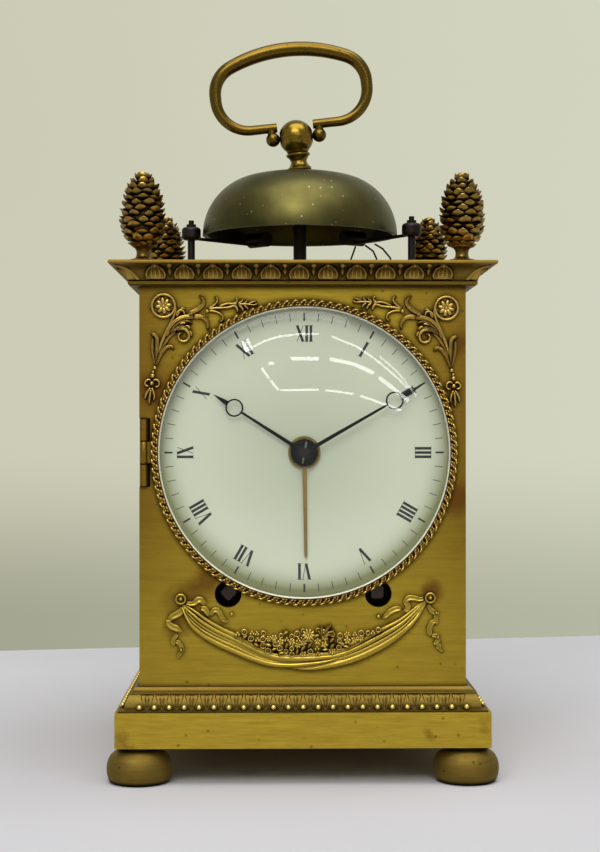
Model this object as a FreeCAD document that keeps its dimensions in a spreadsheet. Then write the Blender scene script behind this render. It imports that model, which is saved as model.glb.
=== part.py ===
import FreeCAD, Part
import math
import os
import re
import Sketcher

# A French carriage clock of the officer's kind: a gilt brass case on bun feet, an enamel dial under a
# hinged bezel, a bell on top struck by two hammers, and a folding bail handle over the bell.
# Millimetres, +Z up. The origin is on the table under the middle of the case and -Y is the front.

# Driving sizes: (alias, value, meaning)
SIZES = [
    # feet and plinth
    ("foot_radius", 9.05, "widest radius of a bun foot"),
    ("foot_height", 10.1, "table to the underside of the plinth"),
    ("foot_sole", 5.2, "radius of the flat sole"),
    ("foot_neck", 4.0, "radius of the neck under the plinth"),
    ("foot_stud", 1.5, "radius of the threaded stud of a foot"),
    ("slab_height", 9.7, "plinth slab"),
    ("slab_ledge", 6.3, "slab beyond the body on every side"),
    ("slab_rim", 14.0, "solid rim of the slab round its underside recess"),
    ("slab_floor", 4.0, "floor left over the recess"),
    ("moulding_height", 6.3, "plinth moulding"),
    ("moulding_foot", 5.5, "moulding beyond the body at its bottom"),
    ("moulding_head", 0.9, "moulding beyond the body at its top"),
    ("fillet_height", 0.9, "plain fillets of the mouldings"),
    # body
    ("body_width", 90.0, "outside width of the box"),
    ("body_depth", 100.0, "outside depth of the box"),
    ("body_height", 110.2, "height of the panels"),
    ("panel", 2.5, "thickness of every panel"),
    ("post", 5.0, "side of a square corner post"),
    ("sunk", 0.5, "depth of the sunk field on the side panels"),
    ("sunk_margin", 9.0, "plain border round the sunk field"),
    ("screw_shank", 1.2, "radius of a case screw"),
    ("screw_head", 2.2, "head radius of a case screw"),
    ("screw_head_height", 1.8, "head height of a case screw"),
    ("screw_grip", 6.0, "depth that a case screw goes into its post"),
    # cornice and top
    ("cornice_height", 6.5, "cornice moulding"),
    ("cornice_side", 7.8, "cornice beyond the body at the sides"),
    ("cornice_front", 9.0, "cornice beyond the body at front and back"),
    ("cornice_foot", 2.4, "cornice beyond the body at its bottom"),
    ("fascia_height", 1.2, "plain top edge of the cornice"),
    ("top_plate_height", 2.0, "plate let into the cornice"),
    ("top_half_width", 37.5, "half width of the top plate"),
    ("top_half_depth", 41.5, "half depth of the top plate"),
    ("top_ledge_side", 2.0, "ledge under the plate at the sides"),
    ("top_ledge_front", 4.0, "ledge under the plate at front and back"),
    ("top_screw_inset", 9.0, "screws of the top plate inside its sides"),
    # finials
    ("finial_inset_x", 1.0, "finial centre inside the body's side"),
    ("finial_inset_y", 0.5, "finial centre inside the body's front"),
    ("finial_stud", 4.0, "stud of a finial into the cornice"),
    ("finial_base", 3.0, "radius of the milled ring"),
    ("finial_ring", 1.0, "height of the milled ring"),
    ("finial_waist", 1.7, "radius of the stem"),
    ("cone_start", 5.3, "cornice to the bottom of the cone"),
    ("cone_height", 19.8, "pine cone"),
    ("cone_radius", 6.1, "widest radius of the cone"),
    # bell
    ("bell_radius", 29.65, "mouth of the bell"),
    ("bell_depth", 19.8, "mouth to crown"),
    ("bell_roundness", 0.932, "radius of the bell's shoulder as a share of its depth"),
    ("bell_wall", 1.5, "thickness of the bell"),
    ("bell_lift", 13.0, "cornice top to the mouth of the bell"),
    ("pillar_radius", 2.0, "stem of the bell pillar"),
    ("pillar_collar", 3.2, "collar that carries the bell"),
    ("pillar_bore", 1.8, "bore that takes the handle's stud"),
    ("bell_seat", 0.02, "play between the pillar's collar and the crown of the bell"),
    ("stud_radius", 1.3, "stud of the handle knob"),
    # handle
    ("handle_lean", 6.2, "degrees that the handle leans to the left"),
    ("neck_base", 3.6, "foot of the handle's neck"),
    ("neck_waist", 2.4, "waist of the neck"),
    ("neck_collar", 3.65, "collar under the ball"),
    ("neck_height", 2.9, "crown of the bell to the waist of the neck"),
    ("ball_radius", 5.3, "ball of the handle"),
    ("ball_height", 10.4, "crown of the bell to the middle of the ball"),
    ("boss_radius", 2.15, "round bosses at the ends of the bail"),
    ("boss_reach", 7.1, "middle of the ball to the middle of a boss"),
    ("boss_gap", 0.2, "play between the ball's flats and the bosses"),
    ("bail_pin_radius", 0.8, "pin that the bail turns on"),
    ("bail_overhang", 1.6, "middle of a boss to the end of the bail above it"),
    ("bail_end", 1.4, "radius of the bail at its ends"),
    ("bail_side", 1.8, "radius of the bail at its sides"),
    ("bail_top", 2.2, "radius of the bail at its top"),
    ("bail_rise", 27.0, "pivot to the middle of the bail's grip"),
    ("bail_half_span", 23.2, "half of the bail's width at its middle line"),
    ("bail_shoulder", 3.5, "pivot to the middle line of the bail's ends"),
    ("bail_corner", 10.0, "bend at the bail's lower corners"),
    ("bail_upper_corner", 9.0, "bend at the bail's upper corners"),
    ("bail_straight", 1.5, "straight stretch of the bail's sides"),
    # hammers
    ("hammer_arbor", 1.1, "radius of a hammer arbor"),
    ("hammer_barrel", 2.9, "radius of the boss on a hammer arbor"),
    ("hammer_barrel_height", 3.9, "height of that boss"),
    ("hammer_barrel_round", 1.1, "rounding of that boss's edges"),
    ("hammer_arm", 0.5, "radius of a hammer's arm"),
    ("hammer_head_radius", 2.3, "radius of a hammer head"),
    ("hammer_head_length", 7.4, "length of a hammer head"),
    ("hammer_barrel_lift", 0.35, "mouth of the bell to the middle of that boss"),
    ("hammer_drop", 1.0, "mouth of the bell to the middle of the arms"),
    ("hammer_stand", 3.35, "a hammer arbor beyond the mouth of the bell"),
    ("left_arbor_y", -3.0, "left hammer arbor, behind the middle when above zero"),
    ("right_arbor_y", -14.0, "right hammer arbor, behind the middle when above zero"),
    ("left_strike", 7.9, "left hammer head inside the mouth of the bell"),
    ("left_strike_angle", 125.5, "degrees round the bell to the left hammer head"),
    ("right_strike", 9.0, "right hammer head inside the mouth of the bell"),
    ("right_strike_angle", 36.0, "degrees round the bell to the right hammer head"),
    ("spring_wire", 0.275, "radius of the hammer spring wires"),
    # dial, bezel and hands
    ("dial_x", 0.4, "dial centre right of the middle"),
    ("dial_rise", 64.4, "dial centre above the foot of the panels"),
    ("dial_opening", 40.1, "round opening in the front panel"),
    ("dial_radius", 39.95, "enamel dial"),
    ("dial_thickness", 1.6, "enamel dial"),
    ("dial_sink", 0.4, "dial face behind the panel's face"),
    ("dial_hole", 3.4, "centre hole of the dial"),
    ("dial_plate_thickness", 1.2, "brass plate behind the enamel"),
    ("dial_plate_step", 3.05, "enamel beyond the edge of the brass plate"),
    ("bezel_inner", 39.6, "sight radius of the bezel"),
    ("bezel_outer", 42.2, "outside radius of the bezel"),
    ("bezel_height", 3.4, "bezel proud of the panel"),
    ("bezel_lift", 0.1, "play under the closed bezel"),
    ("glass_thickness", 1.1, "dial glass"),
    ("glass_rise", 4.4, "dome of the dial glass"),
    ("rebate", 1.2, "rebate that holds the glass"),
    ("hinge_pin", 0.5, "radius of the hinge pins"),
    ("hinge_knuckle", 1.1, "radius of the hinge knuckles"),
    ("hinge_length", 18.3, "length of each hinge"),
    ("hinge_play", 0.3, "gap between knuckles and round a hinge leaf"),
    ("hinge_leaf", 0.8, "thickness of a hinge leaf"),
    ("hinge_out", 1.9, "edge of the bezel to its hinge pin"),
    ("hinge_proud", 0.4, "bezel's hinge pin in front of the case front"),
    ("hinge_recess", 1.5, "recess in the front panel behind the bezel's hinge"),
    ("door_hinge_out", 1.2, "edge of the door to its hinge pins"),
    ("hinge_strap", 7.0, "strap of a door hinge"),
    ("running", 0.05, "radial clearance of a running fit"),
    ("hand_thickness", 0.4, "steel hands"),
    ("alarm_lift", 0.75, "dial face to the back of the alarm hand"),
    ("hour_lift", 1.6, "dial face to the back of the hour hand"),
    ("minute_lift", 2.4, "dial face to the back of the minute hand"),
    ("hour_reach", 29.5, "hour hand"),
    ("minute_reach", 38.0, "minute hand"),
    ("alarm_reach", 29.3, "alarm hand"),
    ("hour_moon", 22.8, "middle of the hour hand's ring"),
    ("minute_moon", 28.6, "middle of the minute hand's ring"),
    ("moon_radius", 2.45, "rings of the hands"),
    ("hand_boss", 3.3, "bosses of the hands"),
    ("alarm_boss", 4.5, "boss of the alarm hand"),
    # rear door
    ("door_width", 66.0, "opening in the rear frame"),
    ("door_height", 92.0, "opening in the rear frame"),
    ("door_gap", 0.3, "play round the door"),
    ("door_border", 7.0, "frame of the door round its glass"),
    ("door_glass_thickness", 1.2, "glass of the door"),
    ("door_knob_radius", 2.6, "knob of the door"),
    # movement
    ("seat_depth", 7.0, "angle bracket under a movement plate"),
    ("plate_half_width", 36.0, "movement plates"),
    ("plate_bottom", 24.5, "bottom of the plates above the table"),
    ("plate_top", 129.0, "top of the plates above the table"),
    ("plate_thickness", 2.0, "movement plates"),
    ("front_plate_setback", 10.0, "case front to the front plate"),
    ("plate_spacing", 40.0, "between the plates"),
    ("pillar_inset", 5.0, "pillar centres inside the plate edges"),
    ("plate_pillar", 2.6, "radius of the movement pillars"),
    ("small_shank", 0.9, "radius of a small screw"),
    ("small_head", 1.7, "head radius of a small screw"),
    ("small_head_height", 1.2, "head height of a small screw"),
    ("arbor", 0.9, "radius of a wheel arbor"),
    ("pivot", 0.5, "radius of a pivot"),
    ("winding_hole", 3.7, "radius of the winding holes"),
    ("winding_square", 3.4, "across the flats of the winding squares"),
    ("winding_left_x", -20.6, "left winding arbor"),
    ("winding_right_x", 20.8, "right winding arbor"),
    ("winding_rise", 25.4, "winding arbors above the foot of the panels"),
    ("barrel_radius", 16.6, "drum of a spring barrel"),
    ("barrel_depth", 17.0, "drum of a spring barrel"),
    ("wheel_thickness", 1.0, "train wheels"),
    ("centre_arbor", 1.3, "radius of the centre arbor through the dial"),
    ("hour_pipe", 2.0, "outside radius of the hour wheel's pipe"),
    ("alarm_pipe", 2.7, "outside radius of the alarm hand's pipe"),
    ("square_setback", 4.6, "case front to the tips of the winding squares"),
    ("tooth_backlash", 0.14, "share of a tooth's width left as play"),
    ("spandrel_thickness", 2.2, "corner mounts proud of the panel"),
    ("swag_thickness", 3.0, "swag mount proud of the panel"),
]

ALIASES = {alias for alias, _, _ in SIZES}
Vector = FreeCAD.Vector
UP = Vector(0, 0, 1)
BACK = Vector(0, 1, 0)

doc = FreeCAD.newDocument("CarriageClock")
sheet = doc.addObject("Spreadsheet::Sheet", "Sizes")
for row, (alias, number, meaning) in enumerate(SIZES, start=1):
    sheet.set(f"A{row}", alias)
    sheet.set(f"B{row}", str(number))
    sheet.setAlias(f"B{row}", alias)
    sheet.set(f"C{row}", meaning)
doc.recompute()

PARTS = []  # labels of the sub-parts, in the order that they are made

# Levels and places that several pieces share, as formulas of the sheet
SLAB = "foot_height"
MOULDING = "foot_height + slab_height"
BODY = "foot_height + slab_height + moulding_height"
CORNICE = f"{BODY} + body_height"
TOP = f"{CORNICE} + cornice_height"
BELL = f"{TOP} + bell_lift"
CROWN = f"{BELL} + bell_depth"
FRONT = "(0 - body_depth / 2)"
REAR = "body_depth / 2"
INSIDE_X = "(body_width / 2 - panel)"
INSIDE_Y = "(body_depth / 2 - panel)"
POST_X = f"({INSIDE_X} - post / 2)"
POST_Y = f"({INSIDE_Y} - post / 2)"
DIAL_Z = f"({BODY} + dial_rise)"
WINDING_Z = f"({BODY} + winding_rise)"
HINGE_X = "(dial_x - bezel_outer - hinge_out)"
HINGE_Y = f"({FRONT} - hinge_proud)"
DOOR_MID = f"({BODY} + body_height / 2)"
DOOR_HINGE_X = "(door_width / 2 + door_gap + door_hinge_out)"
DOOR_HINGE_Y = f"({REAR} + hinge_knuckle)"
DOOR_HINGES = (f"({DOOR_MID} - door_height / 3)", f"({DOOR_MID} + door_height / 3)")
DOOR_KNOB_X = "(0 - door_width / 2 + door_border / 2)"
FINIAL_X = "(body_width / 2 - finial_inset_x)"
FINIAL_Y = "(body_depth / 2 - finial_inset_y)"
TOP_SCREW = ("(top_half_width - top_screw_inset)", "(top_half_depth - top_ledge_front / 2)")
HAMMERS = (("(0 - bell_radius - hammer_stand)", "left_arbor_y"),
           ("(bell_radius + hammer_stand)", "right_arbor_y"))
HAMMER_HEADS = tuple((f"((bell_radius - {side}_strike) * cos({side}_strike_angle))",
                      f"((bell_radius - {side}_strike) * sin({side}_strike_angle))")
                     for side in ("left", "right"))
ALARM_LEVEL = f"({FRONT} + dial_sink - alarm_lift)"
HOUR_LEVEL = f"({FRONT} + dial_sink - hour_lift)"
MINUTE_LEVEL = f"({FRONT} + dial_sink - minute_lift)"
HOUR_ANGLE, MINUTE_ANGLE, ALARM_ANGLE = 302.6, 60.1, 179.2  # degrees round the dial from twelve
PLATE_FRONT = f"({FRONT} + front_plate_setback)"
PLATE_REAR = f"({PLATE_FRONT} + plate_thickness + plate_spacing)"

# Wheel counts, modules and the depths of the train's layers behind the front plate
BARREL_TEETH, PINION_LEAVES, SECOND_TEETH = 72, 12, 80
CENTRE_TEETH, THIRD_TEETH, FOURTH_TEETH, PINS_TEETH = 80, 75, 80, 72
LEAVES, ESCAPE_LEAVES, RATCHET_TEETH = 10, 8, 24
CANNON_TEETH, MINUTE_TEETH, HOUR_TEETH = 12, 36, 40
CENTRE_MODULE, THIRD_MODULE, FOURTH_MODULE, PINS_MODULE, RATCHET_MODULE = 0.4, 0.36, 0.3, 0.4, 0.45
MOTION_REACH = 12.0
MINUTE_MODULE = 2 * MOTION_REACH / (CANNON_TEETH + MINUTE_TEETH)
HOUR_MODULE = 2 * MOTION_REACH / (LEAVES + HOUR_TEETH)
SECOND_LAYER, PINS_LAYER, CENTRE_LAYER, THIRD_LAYER, FOURTH_LAYER = 23.0, 26.0, 29.0, 33.0, 36.4
MINUTE_WAY, THIRD_WAY, FOURTH_WAY = (math.radians(angle) for angle in (-40, 60, 165))
PINS_WAY, FLY_WAY = (math.radians(angle) for angle in (105, 62))
ESCAPE_WAY, BALANCE_WAY = (math.radians(angle) for angle in (205, 270))
LEVER_REACH, BALANCE_REACH = 5.7, 8.8  # escape wheel to pallet lever, and lever to balance
COCK_GAP = 8.6  # rear plate to the underside of the cock


def formula(text):
    """Spell out the sheet's names in a formula, so that the document can read it."""
    return re.sub(r"[a-z_]+", lambda m: f"Sizes.{m.group()}" if m.group() in ALIASES else m.group(), text)


def value(text):
    """The number that a formula of the sheet gives now."""
    found = sheet.evalExpression(formula(str(text)))
    return float(getattr(found, "Value", found))


def bind(thing, prop, text):
    """Tie one property of an object to a formula."""
    thing.setExpression(prop, formula(str(text)))


def place(thing, x="0", y="0", z="0"):
    """Tie an object's position to three formulas."""
    for name, text in (("x", x), ("y", y), ("z", z)):
        if str(text) != "0":
            bind(thing, f".Placement.Base.{name}", text)
    return thing


def part(thing, label):
    """Give an object the label that names its file and list it as a sub-part."""
    thing.Label = label
    PARTS.append(label)
    return thing


def box(size, at, centred="xy"):
    """A block of size (x, y, z) at a corner, or centred on the axes named in centred."""
    block = doc.addObject("Part::Box", "Block")
    for prop, text in zip(("Length", "Width", "Height"), size):
        bind(block, prop, text)
    corner = [f"({start}) - ({length}) / 2" if axis in centred else start
              for axis, start, length in zip("xyz", at, size)]
    return place(block, *corner)


def rod(radius, length, at, along=UP):
    """A cylinder from a point along +Z, +Y or another direction."""
    cylinder = doc.addObject("Part::Cylinder", "Rod")
    bind(cylinder, "Radius", radius)
    bind(cylinder, "Height", length)
    cylinder.Placement.Rotation = FreeCAD.Rotation(UP, along)
    return place(cylinder, *at)


def frustum(bottom, top, height, at):
    """A four-sided moulding between two centred rectangles, each given as (width, depth)."""
    wedge = doc.addObject("Part::Wedge", "Moulding")
    limits = {"Xmin": f"0 - ({bottom[0]}) / 2", "Xmax": f"({bottom[0]}) / 2",
              "Zmin": f"0 - ({bottom[1]}) / 2", "Zmax": f"({bottom[1]}) / 2",
              "X2min": f"0 - ({top[0]}) / 2", "X2max": f"({top[0]}) / 2",
              "Z2min": f"0 - ({top[1]}) / 2", "Z2max": f"({top[1]}) / 2", "Ymax": height}
    for prop, text in limits.items():
        bind(wedge, prop, text)
    wedge.Placement.Rotation = FreeCAD.Rotation(Vector(1, 0, 0), 90)
    return place(wedge, *at)


def joined(things):
    """Several objects fused into one solid."""
    fuse = doc.addObject("Part::MultiFuse", "Joined")
    fuse.Shapes = things
    return fuse


def group(things):
    """Several solids kept apart in one sub-part."""
    compound = doc.addObject("Part::Compound", "Group")
    compound.Links = things
    return compound


def cut(base, tools):
    """An object with others taken out of it."""
    taken = doc.addObject("Part::Cut", "Cut")
    taken.Base = base
    taken.Tool = tools[0] if len(tools) == 1 else joined(tools)
    return taken


def mirrored(thing, normal):
    """The mirror image of an object in the middle plane with this normal."""
    image = doc.addObject("Part::Mirroring", "Mirrored")
    image.Source = thing
    image.Normal = normal
    return image


def both_sides(thing):
    """An object and its image on the other side of the clock."""
    return group([thing, mirrored(thing, Vector(1, 0, 0))])


def four_corners(thing):
    """An object at one corner and its images at the other three."""
    pair = both_sides(thing)
    return group([pair, mirrored(pair, Vector(0, 1, 0))])


def turned_placement(thing, at, axis, angle):
    """Turn an object about an axis through its own origin and put that origin at a point."""
    thing.Placement = FreeCAD.Placement(Vector(), FreeCAD.Rotation(axis, angle))
    return place(thing, *at)


def sketch(body, loops):
    """An upright sketch whose corners and arcs are all tied to the sheet.

    A loop is a list of corners (x, y) or (x, y, radius); a radius bends the run to the next corner,
    to the left of the way there when it is written with a leading + and to the right with a -.
    """
    flat = body.newObject("Sketcher::SketchObject", "Outline")
    upright = next(feature for feature in body.Origin.OriginFeatures if feature.Role == "XZ_Plane")
    flat.AttachmentSupport = [(upright, "")]
    flat.MapMode = "FlatFace"

    def tie(kind, edge, point, text):
        index = flat.addConstraint(Sketcher.Constraint(kind, -1, 1, edge, point, value(text)))
        flat.setExpression(f"Constraints[{index}]", formula(text))

    for loop in loops:
        first = flat.GeometryCount
        ends = []
        for corner, following in zip(loop, loop[1:] + loop[:1]):
            start = Vector(value(corner[0]), value(corner[1]), 0)
            end = Vector(value(following[0]), value(following[1]), 0)
            if len(corner) == 2:
                flat.addGeometry(Part.LineSegment(start, end), False)
                ends.append((1, 2))
                continue
            radius = value(corner[2][1:])
            left = corner[2][0] == "+"
            chord = end - start
            across = Vector(-chord.y, chord.x, 0).normalize()
            offset = math.sqrt(max(radius ** 2 - (chord.Length / 2) ** 2, 0))
            centre = (start + end) * 0.5 + across * (offset if left else -offset)
            begin, finish = (start, end) if left else (end, start)
            angles = [math.atan2(point.y - centre.y, point.x - centre.x) for point in (begin, finish)]
            circle = Part.Circle(centre, UP, radius)
            flat.addGeometry(Part.ArcOfCircle(circle, angles[0], angles[1]), False)
            ends.append((1, 2) if left else (2, 1))
        for number, corner in enumerate(loop):
            following = (number + 1) % len(loop)
            flat.addConstraint(Sketcher.Constraint(
                "Coincident", first + number, ends[number][1], first + following, ends[following][0]))
            tie("DistanceX", first + number, ends[number][0], corner[0])
            tie("DistanceY", first + number, ends[number][0], corner[1])
            if len(corner) == 3:
                index = flat.addConstraint(
                    Sketcher.Constraint("Radius", first + number, value(corner[2][1:])))
                flat.setExpression(f"Constraints[{index}]", formula(corner[2][1:]))
    return flat


def turned(outline, at=("0", "0", "0")):
    """A body turned about its own vertical axis, from an outline of (radius, height) corners."""
    body = doc.addObject("PartDesign::Body", "Turned")
    profile = sketch(body, [outline])
    lathe = body.newObject("PartDesign::Revolution", "Lathe")
    lathe.Profile = profile
    lathe.ReferenceAxis = (profile, ["V_Axis"])
    lathe.Angle = 360
    return place(body, *at)


def sheet_plate(loops, thickness, at):
    """An upright flat plate with its outline seen from the front."""
    body = doc.addObject("PartDesign::Body", "Plate")
    pad = body.newObject("PartDesign::Pad", "Thickness")
    pad.Profile = sketch(body, loops)
    bind(pad, "Length", thickness)
    pad.Reversed = True
    body.Tip = pad
    return place(body, *at)


def rectangle(half_width, low, high, middle="0"):
    """The corners of a rectangle about a middle line."""
    left = f"({middle}) - ({half_width})"
    right = f"({middle}) + ({half_width})"
    return [(left, low), (right, low), (right, high), (left, high)]


def screw(shank, head, head_height, length, at, along=UP):
    """A screw whose head's outer face is at a point and whose shank runs along a direction."""
    return joined([rod(head, head_height, at, along), rod(shank, length, at, along)])


def feature(shape, at=(0, 0, 0), turn=None):
    """A piece whose shape is worked out here from the sheet's numbers."""
    solid = doc.addObject("Part::Feature", "Shaped")
    solid.Shape = shape
    solid.Placement = FreeCAD.Placement(Vector(*at), turn or FreeCAD.Rotation()) * shape.Placement
    return solid


# ---------------------------------------------------------------- case


def make_feet():
    """Bun foot with a flat sole, a neck and a stud that screws into the slab."""
    foot = turned([("0", "0"), ("foot_sole", "0", "+foot_radius * 0.62"), ("foot_radius", "foot_height * 0.5",
                   "+foot_radius * 0.62"), ("foot_neck", "foot_height * 0.93"),
                   ("foot_neck", "foot_height"), ("foot_stud", "foot_height"),
                   ("foot_stud", "foot_height + slab_height * 0.6"), ("0", "foot_height + slab_height * 0.6")],
                  ("body_width / 2", "body_depth / 2", "0"))
    part(four_corners(foot), "bun_feet")


def make_plinth():
    """Plinth slab, recessed underneath, and the moulding that steps up to the body."""
    slab = box(("body_width + 2 * slab_ledge", "body_depth + 2 * slab_ledge", "slab_height"), ("0", "0", SLAB))
    recess = box(("body_width + 2 * slab_ledge - 2 * slab_rim", "body_depth + 2 * slab_ledge - 2 * slab_rim",
                  "slab_height - slab_floor"), ("0", "0", SLAB))
    stud = rod("foot_stud + running", "slab_height * 0.7", ("body_width / 2", "body_depth / 2", SLAB))
    head = rod("screw_head + 0.1", "screw_head_height + 0.6", (POST_X, POST_Y, SLAB))
    shank = rod("screw_shank + running", "slab_height", (POST_X, POST_Y, SLAB))
    seat_hole = rod("small_shank + running", "slab_height",
                    ("plate_half_width - pillar_inset", f"{PLATE_FRONT} + seat_depth / 2", SLAB))
    seat_holes = group([both_sides(seat_hole), both_sides(rod(
        "small_shank + running", "slab_height",
        ("plate_half_width - pillar_inset", f"{PLATE_REAR} + plate_thickness - seat_depth / 2", SLAB)))])
    part(cut(slab, [recess, four_corners(stud), four_corners(head), four_corners(shank), seat_holes]),
         "plinth_slab")

    def rectangle_of(ledge):
        return (f"body_width + 2 * {ledge}", f"body_depth + 2 * {ledge}")

    slope = "(moulding_height - 2 * fillet_height)"
    steps = joined([
        box((*rectangle_of("moulding_foot"), "fillet_height"), ("0", "0", MOULDING)),
        frustum(rectangle_of("(moulding_foot - 0.5)"), rectangle_of("moulding_head"), slope,
                ("0", "0", f"{MOULDING} + fillet_height")),
        box((*rectangle_of("moulding_head"), "fillet_height"),
            ("0", "0", f"{MOULDING} + moulding_height - fillet_height"))])
    well = box((f"2 * {POST_X} - post", f"2 * {POST_Y} - post", "moulding_height"), ("0", "0", MOULDING))
    shank = rod("screw_shank + running", "moulding_height", (POST_X, POST_Y, MOULDING))
    part(cut(steps, [well, four_corners(shank)]), "plinth_moulding")


def make_posts_and_screws():
    """Corner posts behind the panels and the long screws that tie base, posts and cornice."""
    bore_depth = "screw_grip + 1"
    post = box(("post", "post", "body_height"), (POST_X, POST_Y, BODY))
    low_bore = rod("screw_shank + running", bore_depth, (POST_X, POST_Y, BODY))
    high_bore = rod("screw_shank + running", bore_depth, (POST_X, POST_Y, f"{CORNICE} - ({bore_depth})"))
    part(four_corners(cut(post, [low_bore, high_bore])), "corner_posts")
    base_screw = screw("screw_shank", "screw_head", "screw_head_height",
                       "slab_height + moulding_height + screw_grip - 0.6", (POST_X, POST_Y, f"{SLAB} + 0.6"))
    cornice_screw = screw("screw_shank", "screw_head", "screw_head_height", "cornice_height + screw_grip - 0.4",
                          (POST_X, POST_Y, f"{TOP} - 0.4"), Vector(0, 0, -1))
    part(group([four_corners(base_screw), four_corners(cornice_screw)]), "case_screws")


def make_panels():
    """Front, side and rear panels of the box."""
    hinge_half = "(hinge_length / 2 + hinge_play)"
    hinge_edge = f"({HINGE_X} + hinge_knuckle + 2 * hinge_play)"
    face = [("0 - body_width / 2", BODY), ("body_width / 2", BODY), ("body_width / 2", CORNICE),
            ("0 - body_width / 2", CORNICE)]
    plate = sheet_plate([face], "panel", ("0", FRONT, "0"))
    holes = [rod(radius, "panel", (x, FRONT, z), BACK)
             for x, z, radius in (("dial_x", DIAL_Z, "dial_opening"),
                                  ("winding_left_x", WINDING_Z, "winding_hole"),
                                  ("winding_right_x", WINDING_Z, "winding_hole"))]
    recess = box((f"{hinge_edge} - ({HINGE_X} - hinge_knuckle - hinge_play)", "hinge_recess",
                  f"2 * {hinge_half}"),
                 (f"{HINGE_X} - hinge_knuckle - hinge_play", FRONT, f"{DIAL_Z} - {hinge_half}"), centred="")
    third = "(hinge_length / 3 - hinge_play)"
    knuckles = [rod("hinge_knuckle", third, (HINGE_X, HINGE_Y, f"{DIAL_Z} + {start}"))
                for start in ("hinge_length / 6 + hinge_play", "(0 - hinge_length / 2)")]
    webs = [box(("2 * hinge_knuckle", f"{FRONT} + hinge_recess - {HINGE_Y}", third),
                (f"{HINGE_X} - hinge_knuckle", HINGE_Y, f"{DIAL_Z} + {start}"), centred="")
            for start in ("hinge_length / 6 + hinge_play", "(0 - hinge_length / 2)")]
    pin_bore = rod("hinge_pin", "hinge_length + 2 * hinge_play",
                   (HINGE_X, HINGE_Y, f"{DIAL_Z} - {hinge_half}"))
    part(cut(joined([cut(plate, [recess, *holes]), *knuckles, *webs]), [pin_bore]), "front_panel")

    wall = box(("panel", f"2 * {INSIDE_Y}", "body_height"), (INSIDE_X, f"0 - {INSIDE_Y}", BODY), centred="")
    field = box(("sunk", f"2 * {INSIDE_Y} - 2 * sunk_margin", "body_height - 2 * sunk_margin"),
                ("body_width / 2 - sunk", f"0 - {INSIDE_Y} + sunk_margin", f"{BODY} + sunk_margin"), centred="")
    part(both_sides(cut(wall, [field])), "side_panels")


def make_rear():
    """Rear frame with a hinged, glazed door and its knob."""
    frame = [("0 - body_width / 2", BODY), ("body_width / 2", BODY), ("body_width / 2", CORNICE),
             ("0 - body_width / 2", CORNICE)]
    opening = rectangle("door_width / 2", f"{DOOR_MID} - door_height / 2", f"{DOOR_MID} + door_height / 2")
    plate = sheet_plate([frame, opening], "panel", ("0", f"{REAR} - panel", "0"))
    third = "(hinge_length / 3 - hinge_play)"
    starts = ("hinge_length / 6 + hinge_play", "(0 - hinge_length / 2)")
    knuckles, webs = [], []
    for level in DOOR_HINGES:
        for start in starts:
            knuckles.append(rod("hinge_knuckle", third, (DOOR_HINGE_X, DOOR_HINGE_Y, f"{level} + {start}")))
            webs.append(box(("hinge_strap", "hinge_leaf", third), (DOOR_HINGE_X, REAR, f"{level} + {start}"),
                            centred=""))
    bores = [rod("hinge_pin", "hinge_length + 1",
                 (DOOR_HINGE_X, DOOR_HINGE_Y, f"{level} - hinge_length / 2 - 0.5"))
             for level in DOOR_HINGES]
    part(cut(joined([plate, *knuckles, *webs]), bores), "rear_frame")

    leaf = rectangle("door_width / 2 - door_gap", f"{DOOR_MID} - door_height / 2 + door_gap",
                     f"{DOOR_MID} + door_height / 2 - door_gap")
    sight = rectangle("door_width / 2 - door_border", f"{DOOR_MID} - door_height / 2 + door_border",
                      f"{DOOR_MID} + door_height / 2 - door_border")
    door = sheet_plate([leaf, sight], "panel", ("0", f"{REAR} - panel", "0"))
    rebate = box(("door_width - 2 * door_border + 2 * rebate", "door_glass_thickness",
                  "door_height - 2 * door_border + 2 * rebate"),
                 ("0", f"{REAR} - panel + door_glass_thickness / 2",
                  f"{DOOR_MID} - door_height / 2 + door_border - rebate"))
    middle = "(hinge_length / 3)"
    straps, eyes = [], []
    for level in DOOR_HINGES:
        eyes.append(rod("hinge_knuckle", middle, (DOOR_HINGE_X, DOOR_HINGE_Y, f"{level} - {middle} / 2")))
        straps.append(box(("hinge_strap", "hinge_leaf", middle),
                          (f"{DOOR_HINGE_X} - hinge_strap", REAR, f"{level} - {middle} / 2"), centred=""))
    bores = [rod("hinge_pin + running", "hinge_length",
                 (DOOR_HINGE_X, DOOR_HINGE_Y, f"{level} - hinge_length / 2")) for level in DOOR_HINGES]
    spindle = rod("small_shank + running", "panel", (DOOR_KNOB_X, f"{REAR} - panel", DOOR_MID), BACK)
    part(cut(joined([door, *eyes, *straps]), [rebate, spindle, *bores]), "back_door")
    glass = box(("door_width - 2 * door_border + 2 * rebate - 0.4", "door_glass_thickness - 0.1",
                 "door_height - 2 * door_border + 2 * rebate - 0.4"),
                ("0", f"{REAR} - panel + door_glass_thickness / 2",
                 f"{DOOR_MID} - door_height / 2 + door_border - rebate + 0.2"))
    part(glass, "door_glass")
    knob = turned([("0", "0 - panel - 0.8"), ("small_head", "0 - panel - 0.8"), ("small_head", "0 - panel"),
                   ("small_shank", "0 - panel"), ("small_shank", "0"), ("1.6", "0"),
                   ("1.3", "1.2"), ("door_knob_radius", "2.6", "+door_knob_radius"), ("0", "5.2")],
                  (DOOR_KNOB_X, REAR, DOOR_MID))
    knob.Placement.Rotation = FreeCAD.Rotation(Vector(1, 0, 0), -90)
    part(knob, "door_knob")


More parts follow.
